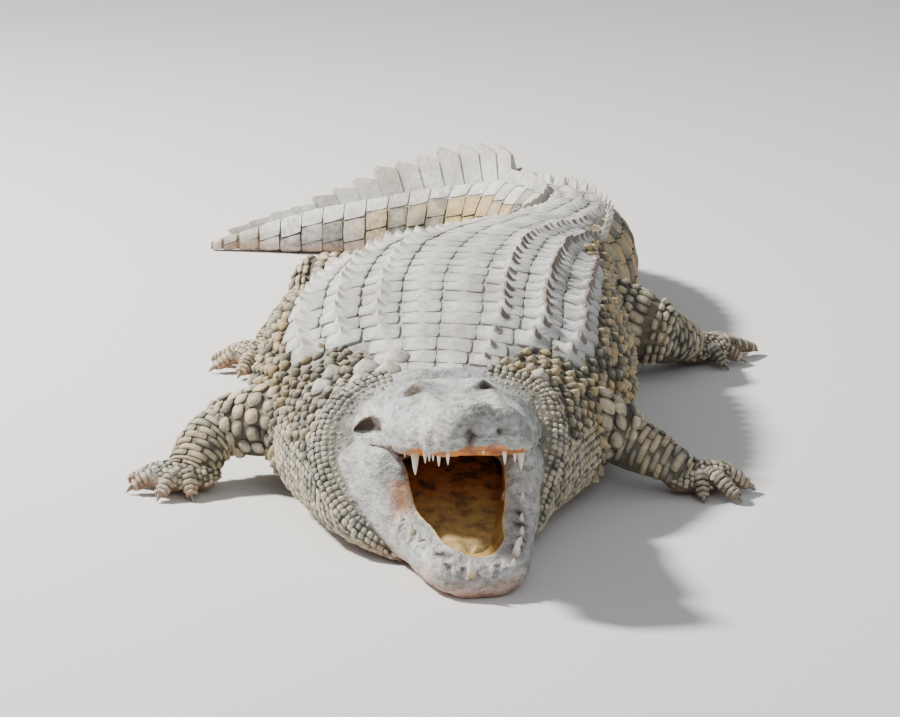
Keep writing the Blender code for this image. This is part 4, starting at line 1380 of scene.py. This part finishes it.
def hideColour(g, crown, pale, warm, tone, keel):
    # the markings that the skin and every scale on it share, with the painted shade, painted highlight and
    # painted ground light noted below
    broad, patch, fine = g.noise(2.6, 2.0), g.noise(9.0, 4.0, 0.6), g.noise(70.0, 3.0)
    colour = g.mix(g.between(patch + 0.5 * (tone - 0.5), 0.34, 0.60), hideTones["dark"], hideTones["grey"])
    colour = g.mix(g.between(patch * 0.5 + broad * 0.5 + 0.5 * (tone - 0.5), 0.42, 0.66) * warm, colour,
                   hideTones["tan"])
    colour = g.mix(g.between(fine * 0.3 + broad * 0.5 + 0.5 * tone, 0.68, 0.88) * warm * 0.7, colour,
                   hideTones["ochre"])
    bone = g.mix(g.between(patch + 0.6 * (fine - 0.5), 0.46, 0.66) * 0.75, hideTones["pale"],
                 hideTones["stain"])
    colour = g.mix(g.between(pale + 0.5 * (fine - 0.5) + 0.3 * (tone - 0.5), 0.25, 0.95), colour, bone)
    colour = g.mix((1 - g.between(crown, 0.08, 0.50)) * (0.92 - 0.52 * pale), colour, hideTones["joint"])
    # the crowns of the scales turn paler: partly their own worn colour, partly a painted highlight
    colour = g.mix(g.between(crown, 0.50, 1.0) * (0.25 + 0.35 * warm), colour, hideTones["crownPaleAndHighlight"])
    # dark brown down one side of each keel: partly the keels' own brown, partly painted shade on the side
    # away from the key lamp
    colour = g.mix(g.between(keel + 0.2 * (fine - 0.5), 0.38, 0.62) * 0.78, colour, hideTones["keel"])
    # reddish toward the floor: partly red soil on the hide, partly painted light reflected from the ground
    dustAndGroundLightShare = g.between(0.050 - g.height() + 0.09 * (patch - 0.5), 0.0, 0.075)
    colour = g.mix(dustAndGroundLightShare * 0.55, colour, hideTones["dustAndGroundLight"])
    speckle = g.mix(g.between(fine, 0.3, 0.7), (0.50, 0.50, 0.50), (1.40, 1.40, 1.40))
    return g.mix(0.40, colour, speckle, "MULTIPLY")


def makeHide():
    g = Graph("hide")
    crown, pale = g.attribute("crown"), g.attribute("pale")
    colour = hideColour(g, crown, pale, g.attribute("warm"), g.attribute("tone"), g.attribute("keel"))
    pores, grain = g.cells(420.0), g.noise(260.0, 4.0)
    cracks = g.between(g.noise(34.0, 5.0, 0.7, (1.0, 1.6, 1.0)), 0.50, 0.62)
    return g.finish(colour, g.between(grain, 0.2, 0.9) * 0.2 + 0.56,
                    grain * 0.5 + g.between(pores, 0.0, 0.25) * 0.2 - cracks * 0.7, 0.0022, 0.7)


def makeSkinFinish():
    # the head's dry hide with its cracks and folds, the mouth's lining, and the skin between the scales
    g = Graph("skin")
    headMask, mouth, gum = g.attribute("head"), g.attribute("mouth"), g.attribute("gum")
    bodyColour = hideColour(g, g.attribute("crown"), g.attribute("pale"), g.attribute("warm"),
                            g.attribute("tone"), g.attribute("keel"))
    patch, fine, broad = g.noise(16.0, 4.0, 0.6), g.noise(120.0, 3.0), g.noise(5.0, 2.0)
    pebbles, wrinkles = g.cells(150.0, "F1"), g.noise(40.0, 5.0, 0.7, (1.0, 0.6, 2.0))
    headColour = g.mix(g.between(patch, 0.36, 0.66), (0.29, 0.30, 0.295), hideTones["blue"])
    headColour = g.mix(g.between(broad, 0.42, 0.60) * 0.65, headColour, (0.56, 0.555, 0.53))
    headColour = g.mix(g.between(g.noise(7.0, 3.0, 0.6), 0.50, 0.66) * 0.45, headColour, (0.37, 0.325, 0.26))
    # dark in the wrinkles' grooves is painted shade; the pale between them is partly the dry hide and partly
    # a painted highlight
    headColour = g.mix(g.between(wrinkles, 0.52, 0.64) * 0.55, headColour, (0.15, 0.14, 0.12))
    headColour = g.mix(g.between(wrinkles, 0.46, 0.36) * 0.40, headColour, (0.66, 0.66, 0.64))
    headColour = g.mix(g.between(fine, 0.52, 0.72) * 0.40, headColour, (0.10, 0.09, 0.075))
    # reddish toward the floor: partly red soil on the hide, partly painted light reflected from the ground
    dustAndGroundLightShare = g.between(0.055 - g.height() + 0.07 * (patch - 0.5), 0.0, 0.06)
    headColour = g.mix(dustAndGroundLightShare * 0.65, headColour, hideTones["dustAndGroundLight"])
    colour = g.mix(headMask, bodyColour, headColour)
    deep = g.attribute("deep")
    blotch = g.noise(22.0, 3.0, 0.6)
    lining = g.mix(deep, (0.52, 0.34, 0.11), (0.66, 0.24, 0.085))
    lining = g.mix(g.between(blotch, 0.47, 0.66) * 0.65, lining, (0.12, 0.072, 0.040))
    colour = g.mix(mouth, colour, lining)
    edgeOfMouth = mouth * (1 - mouth) * 4
    colour = g.mix(g.between(edgeOfMouth, 0.3, 0.9) * 0.7, colour, (0.66, 0.56, 0.27))
    gumColour = g.mix(g.between(blotch + 0.4 * (fine - 0.5), 0.40, 0.60), (0.58, 0.22, 0.05),
                      (0.30, 0.10, 0.045))
    colour = g.mix(gum, colour, gumColour)
    # near black in the right cheek's hollow, the eye slits, the nostrils, the crease behind the nose and the
    # sockets in the lower jaw: painted shade in these recesses
    colour = g.mix(g.attribute("pit"), colour, (0.045, 0.024, 0.012))
    wet = g.between(mouth + gum, 0.2, 0.8)
    grain = g.noise(300.0, 4.0)
    dry = grain * 0.30 - pebbles * 0.5 - g.between(wrinkles, 0.48, 0.66) * 0.9
    bump = dry * (1 - wet * 0.8) + patch * 0.5
    return g.finish(colour, 0.66 - 0.28 * wet + 0.1 * (fine - 0.5), bump, 0.0030, 0.8)


def makeTooth():
    g = Graph("tooth")
    root = g.attribute("root")
    streak = g.noise(60.0, 3.0, 0.6, (3.0, 3.0, 0.6))
    colour = g.mix(g.between(streak, 0.35, 0.7) * 0.5, (0.80, 0.77, 0.70), (0.60, 0.50, 0.34))
    colour = g.mix(g.between(root + 0.2 * streak, 0.45, 1.1), colour, (0.42, 0.25, 0.10))
    return g.finish(colour, 0.30 + 0.15 * streak, streak, 0.0006, 0.4)


def makeClawFinish():
    g = Graph("claw")
    streak = g.noise(80.0, 3.0)
    colour = g.mix(g.between(streak, 0.3, 0.7), (0.10, 0.085, 0.065), (0.30, 0.26, 0.20))
    return g.finish(colour, 0.42 + 0.15 * streak, streak, 0.0006, 0.5)


def makeTongueFinish():
    g = Graph("tongue")
    blotch, fine = g.noise(26.0, 4.0, 0.6), g.cells(230.0)
    low = g.mix(g.between(blotch, 0.40, 0.68), (0.54, 0.39, 0.14), (0.25, 0.18, 0.08))
    high = g.mix(g.between(blotch, 0.44, 0.64), (0.62, 0.24, 0.08), (0.14, 0.08, 0.04))
    colour = g.mix(g.between(g.height() + 0.06 * (blotch - 0.5), 0.072, 0.125), low, high)
    return g.finish(colour, 0.34 + 0.2 * blotch, g.between(fine, 0, 0.3) * 0.5 + blotch, 0.002, 0.6)


def makeEyeFinish():
    g = Graph("eye")
    slit = g.attribute("slit")
    fleck = g.noise(320.0, 3.0)
    iris = g.mix(g.between(fleck, 0.35, 0.65), (0.05, 0.042, 0.018), (0.16, 0.13, 0.05))
    return g.finish(g.mix(slit, iris, (0.004, 0.004, 0.004)), 0.08 + 0.04 * fleck, fleck, 0.0002, 0.2)


teeth = dict(
    # side, distance before the joint, length
    upper=((-0.110, 0.310, 0.014), (-0.101, 0.390, 0.044), (-0.089, 0.445, 0.025), (-0.085, 0.473, 0.020),
           (-0.081, 0.496, 0.018), (-0.074, 0.522, 0.025), (-0.060, 0.543, 0.024), (0.005, 0.550, 0.011),
           (0.045, 0.545, 0.027), (0.070, 0.505, 0.024), (0.084, 0.470, 0.016), (0.099, 0.390, 0.043),
           (0.112, 0.310, 0.014), (-0.122, 0.240, 0.012), (0.122, 0.240, 0.012)),
    lower=((-0.121, 0.334, 0.012), (-0.107, 0.384, 0.020), (-0.097, 0.414, 0.020), (-0.079, 0.478, 0.014),
           (-0.068, 0.515, 0.010), (-0.050, 0.540, 0.011), (-0.018, 0.549, 0.027), (0.018, 0.549, 0.011),
           (0.041, 0.542, 0.012), (0.061, 0.530, 0.013), (0.072, 0.494, 0.034), (0.086, 0.452, 0.014),
           (0.096, 0.405, 0.013), (0.103, 0.356, 0.014), (0.112, 0.310, 0.012), (-0.120, 0.280, 0.012),
           (0.118, 0.270, 0.012)),
    pits=((-0.125, 0.350, 0.007), (-0.112, 0.398, 0.006), (-0.067, 0.490, 0.010), (-0.060, 0.530, 0.008),
          (-0.036, 0.540, 0.006), (0.006, 0.542, 0.006), (0.030, 0.538, 0.007), (0.078, 0.472, 0.010),
          (0.092, 0.430, 0.009), (0.098, 0.380, 0.010), (0.104, 0.335, 0.009)),
    slim=0.22, stout=0.0048, blunt=0.38, bluntest=0.0068, sunk=0.012, back=0.004, lowerLean=0.18,
    upperLean=0.10, lowest=0.038,
)


finishes = dict(hide=makeHide(), skin=makeSkinFinish(), tooth=makeTooth(), claw=makeClawFinish(),
                tongue=makeTongueFinish(), eye=makeEyeFinish())


def markSkin():
    # each point's share of head, mouth, gum, crown and pale hide, and of painted shade in the head's recesses
    points, normals = pointsOf(skin), normalsOf(skin)
    side, ahead, over = inUpper(points)
    lowSide, lowAhead, height = inLower(points)
    stations = smoothRows(body["rows"], arcStations, bodyKnots)
    nearest = np.empty(len(points), int)
    for start in range(0, len(points), 4000):
        block = points[start:start + 4000, None, :2] - stations[None, :, :2]
        nearest[start:start + 4000] = (block ** 2).sum(axis=2).argmin(axis=1)
    row = stations[nearest]
    way = bodyWay(arcStations)[nearest]
    away = points[:, :2] - row[:, :2]
    across = np.abs(away[:, 0] * way[:, 1] - away[:, 1] * way[:, 0]) / row[:, 2]
    top = (points[:, 2] - row[:, 4]) / (row[:, 3] - row[:, 4])
    at = arcStations[nearest]
    pale = blend(0.25, 0.75, top) * blend(0.95, 0.70, across) * blend(0.35, 0.7, at) * 0.8
    onTop = blend(0.17, 0.11, np.abs(side)) * blend(0.18, 0.22, height)
    onHead = blend(0.020 - 0.034 * onTop, 0.034 - 0.034 * onTop, beyondCrease(points))
    inside = np.zeros(len(points))
    near = np.where((points[:, 1] < -0.78) & (lowAhead > -0.05))[0]
    for i in near:
        found = mouthLining.find_nearest(points[i], 0.004)
        if found[0] is not None:
            inside[i] = 1 - blend(0.0006, 0.003, found[3])
    under = smoothRows(head["upper"], ahead)
    lipLine = -under[:, 3] * (1 - head["lipLift"]) + head["lipOver"]
    gum = (normals @ upperUp < -0.3) * blend(0.012, 0.0, over - lipLine) * (ahead > 0.12)
    gum *= (np.abs(side) < under[:, 1] - 0.004) * (height > 0.11)
    gum = np.maximum(gum, 0.75 * hump(lowSide + 0.118, 0.020) * hump(lowAhead - 0.300, 0.040)
                     * (height < 0.16) * (normals[:, 2] > 0.2))
    # the painted shade of the recesses: the hollow in the right cheek, the eye slits, the nostrils, the
    # crease behind the nose and the sockets in the lower jaw
    u, v, w = pocketWays(points)
    pit = blend(1.10, 1.0, np.sqrt(u * u + v * v + w * w)) * blend(-0.75, -0.35, v) * blend(-0.16, 0.04, w)
    along, across = eyeWays(side, ahead)
    pit = np.maximum(pit, 1.5 * hump(across + 0.002, 0.0070) * hump(along, 0.026) * (over > 0.05))
    pit = np.maximum(pit, 1.4 * hump(side + 0.020, 0.0090) * hump(over - 0.022, 0.018) * (ahead > 0.530))
    pit = np.maximum(pit, hump(side - 0.033, 0.0060) * hump(over - 0.030, 0.008) * (ahead > 0.535))
    pit = np.maximum(pit, 0.6 * hump(over - 0.073 + 8.0 * (side + 0.004) ** 2, 0.0040) * (ahead > 0.52)
                     * hump(side + 0.004, 0.020))
    for pitSide, pitAhead, size in teeth["pits"]:
        near = hump(np.hypot(lowSide - pitSide, lowAhead - pitAhead), size * 1.15)
        pit = np.maximum(pit, 1.15 * near * (height < 0.16) * (normals[:, 2] > 0.0))
    pit = np.minimum(pit, 1.0)
    full = np.ones(len(points))
    values = dict(head=onHead, mouth=inside, gum=np.where(inside > 0, 0, gum), crown=full * 0.25, pale=pale,
                  warm=full * 0.5, tone=full * 0.5, keel=full * 0.0, pit=pit,
                  deep=blend(0.05, 0.21, points[:, 2]))
    for key, numbers in values.items():
        mark(skin.data, key, numbers)


markSkin()
smooth(skin)

def toothForm(root, down, length, lean, radiusAtRoot, power):
    # a cone with a round point that leans and bends toward its tip
    form = bmesh.new()
    bmesh.ops.create_uvsphere(form, u_segments=12, v_segments=14, radius=1.0)
    rootShares = []
    for vertex in form.verts:
        u, v, w = vertex.co
        far = (1 - w) / 2  # from the root to the tip
        thin = (1 - far) ** power if far > 0.12 else (far / 0.12) ** 0.5 * 0.88 ** power
        ring = math.hypot(u, v)
        if ring > 1e-6:
            u, v = u / ring, v / ring
        else:
            thin = 0.0
        radius = radiusAtRoot * thin
        vertex.co = (root + headForward * u * radius + headLeft * v * radius
                     + down * (far * (length + teeth["sunk"]) - teeth["sunk"]) + lean * far * far * length)
        rootShares.append(1 - far)
    made = solidOf("tooth", form)
    mark(made.data, "root", rootShares)
    return made


def makeTeeth():
    upperTeeth, lowerTeeth = [], []
    for side, ahead, length in teeth["upper"]:
        row = smoothRows(head["upper"], np.array([ahead]))[0]
        over = -row[3] * (1 - head["lipLift"]) + head["lipOver"] - length * 0.12
        root = onUpper(np.array([side]), np.array([ahead - teeth["back"]]), np.array([over + 0.004]))[0]
        radius = max(length * teeth["slim"], teeth["stout"])
        upperTeeth.append(toothForm(root, -upperUp, length, -headForward * teeth["upperLean"], radius, 0.62))
    for side, ahead, length in teeth["lower"]:
        # a root that would miss the jaw's top moves toward the middle
        for share in np.linspace(1, 0.7, 7):
            inward, behind = side * share, ahead - (1 - share) * 0.1
            above = onLower(np.array([inward]), np.array([behind]), np.array([0.150]))[0]
            root = np.array(skinFaces.ray_cast(Vector(above), Vector((0, 0, -1)))[0])
            if root[2] > teeth["lowest"]:
                break
        lean = headLeft * math.copysign(teeth["lowerLean"], side) + headForward * 0.10
        radius = max(length * teeth["blunt"], teeth["bluntest"]) * (0.75 if length > 0.03 else 1.0)
        lowerTeeth.append(toothForm(root, headUp, length, lean, radius, 0.50))
    return joinForms("upper_teeth", upperTeeth), joinForms("lower_teeth", lowerTeeth)


claws = dict(length=0.026, root=0.0078, up=0.003, hook=0.007)


def clawForm(root, way):
    across = unit(np.cross(way, (0.0, 0.0, 1.0)))
    over = np.cross(across, way)
    form = bmesh.new()
    bmesh.ops.create_uvsphere(form, u_segments=12, v_segments=12, radius=1.0)
    for vertex in form.verts:
        u, v, w = vertex.co
        far = (1 - w) / 2
        ring = math.hypot(u, v)
        thin = 0.0 if ring < 1e-6 else (1 - far) ** 0.6 * min(1.0, (far / 0.1) ** 0.5) / ring
        vertex.co = (root + way * (far * claws["length"] - 0.004) + across * u * thin * claws["root"]
                     + over * (v * thin * claws["root"] + claws["up"] - far * far * claws["hook"]))
    for vertex in form.verts:
        vertex.co.z = max(vertex.co.z, floorGap)
    return solidOf("claw", form)


def makeClaws():
    made = []
    for leg, (_, _, palm, tips) in legs.items():
        for tip in tips[:digits["clawed"]]:
            rows = digitRows(palm, tip)
            end, middle = np.array(rows[2][:3]), np.array(rows[1][:3])
            made.append(clawForm(end, unit(end - middle)))
    return joinForms("claws", made)


tongue = dict(start=-0.01, length=0.425, width=0.93, square=2.6, thick=0.016,
              # distance before the joint, half width of the mouth's floor, height of the tongue's top
              rows=((-0.020, 0.075, 0.168), (0.060, 0.104, 0.146), (0.140, 0.111, 0.118),
                    (0.220, 0.110, 0.092), (0.300, 0.095, 0.074), (0.370, 0.078, 0.066),
                    (0.430, 0.058, 0.064)))


def tonguePlace(along, angle):
    ahead = tongue["start"] + along * tongue["length"]
    rows = smoothRows(tongue["rows"], ahead)
    swell = np.sqrt(np.clip(1 - np.clip(2 * along - 1, 0, 1) ** 6, 0.004, 1))
    side, rise = roundSection(angle, tongue["square"], tongue["square"])
    furrow = 0.006 * hump(side, 0.18) * (rise > 0)
    height = rows[:, 2] - tongue["thick"] + rise * swell * tongue["thick"] - furrow
    return onLower(side * rows[:, 1] * tongue["width"] * swell, ahead, height)


def makeEye(name, hand):
    x, ahead, over = eyes["at"]
    centre = onUpper(np.array([hand * x + head["browShift"]]), np.array([ahead]), np.array([over]))[0]
    look = unit(headLeft * hand * 0.75 + upperForward * 0.55 + upperUp * 0.36)
    form = bmesh.new()
    bmesh.ops.create_uvsphere(form, u_segments=40, v_segments=28, radius=eyes["radius"])
    bmesh.ops.translate(form, vec=tuple(centre), verts=form.verts[:])
    made = pieceOf(name, form)
    away = pointsOf(made) - centre
    across = unit(np.cross(look, upperUp))
    slit = (away @ look > 0) * hump(away @ across, 0.0022) * hump(away @ np.cross(across, look), 0.014)
    mark(made.data, "slit", slit)
    return smooth(made)


def own(piece, finishName, slotName, *nodes):
    piece.data.materials.clear()
    piece.data.materials.append(finishes[finishName])
    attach(piece, "root")
    if nodes:
        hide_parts(*nodes)


flesh = [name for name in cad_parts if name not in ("eye_left", "eye_right", "tongue")]
own(skin, "skin", "hide_of_body", *flesh)
for piece, finishName in coat:
    own(piece, finishName, "hide_of_body", *flesh)
for piece, node in zip(makeTeeth(), ("head_upper", "lower_jaw")):
    own(smooth(piece), "tooth", "tooth", node)
own(smooth(makeClaws()), "claw", "claw", "hand_left", "hand_right", "foot_left", "foot_right")
tonguePiece = loft("tongue_skin", tonguePlace, 60, 48, lambda points: 0.0012 * ripple(points, 0.03, 41))
own(smooth(tonguePiece), "tongue", "mouth_lining", "tongue")
own(makeEye("left_eye", 1), "eye", "eye", "eye_left")
own(makeEye("right_eye", -1), "eye", "eye", "eye_right")
print("teeth, claws, tongue and eyes")


floorPlan = dict(size=30.0, colour=(0.70, 0.685, 0.665), roughness=0.85)


def stageFloor():
    form = bmesh.new()
    bmesh.ops.create_grid(form, x_segments=1, y_segments=1, size=floorPlan["size"])
    floor = pieceOf("floor", form)
    floor.data.materials.append(Graph("floorPaint").finish(floorPlan["colour"], floorPlan["roughness"]))


lamps = dict(
    key=dict(place=(-5.2, 1.6, 5.4), target=(0.0, 0.0, 0.1), size=0.9, power=1750.0,
             colour=(1.0, 0.965, 0.91)),
    fill=dict(place=(1.5, -7.0, 4.0), target=(0.0, -0.6, 0.1), size=4.0, power=120.0,
              colour=(0.93, 0.96, 1.0)),
)


def makeLamp(name, plan):
    light = bpy.data.lights.new(name, "AREA")
    light.shape = "DISK"
    light.size = plan["size"]
    light.energy = plan["power"]
    light.color = plan["colour"]
    made = newObject(name, light)
    made.location = plan["place"]
    aim = Vector(plan["target"]) - Vector(plan["place"])
    made.rotation_euler = aim.to_track_quat("-Z", "Y").to_euler()


studio = dict(colour=(0.86, 0.89, 0.94), strength=0.44)


def makeStudio():
    world = bpy.data.worlds.new("studio")
    bpy.context.scene.world = world
    world.use_nodes = True
    inputs = world.node_tree.nodes["Background"].inputs
    inputs["Color"].default_value = (*studio["colour"], 1.0)
    inputs["Strength"].default_value = studio["strength"]


camera = dict(place=(0.0, -8.2, 2.055), down=13.25, lens=154.0, sensor=36.0)


def makeCamera():
    view = bpy.data.cameras.new("camera")
    view.sensor_width = camera["sensor"]
    view.lens = camera["lens"]
    made = newObject("camera", view)
    made.location = camera["place"]
    made.rotation_euler = (math.radians(90 - camera["down"]), 0.0, 0.0)
    bpy.context.scene.camera = made


stageFloor()
for name, plan in lamps.items():
    makeLamp(name, plan)
makeStudio()
makeCamera()
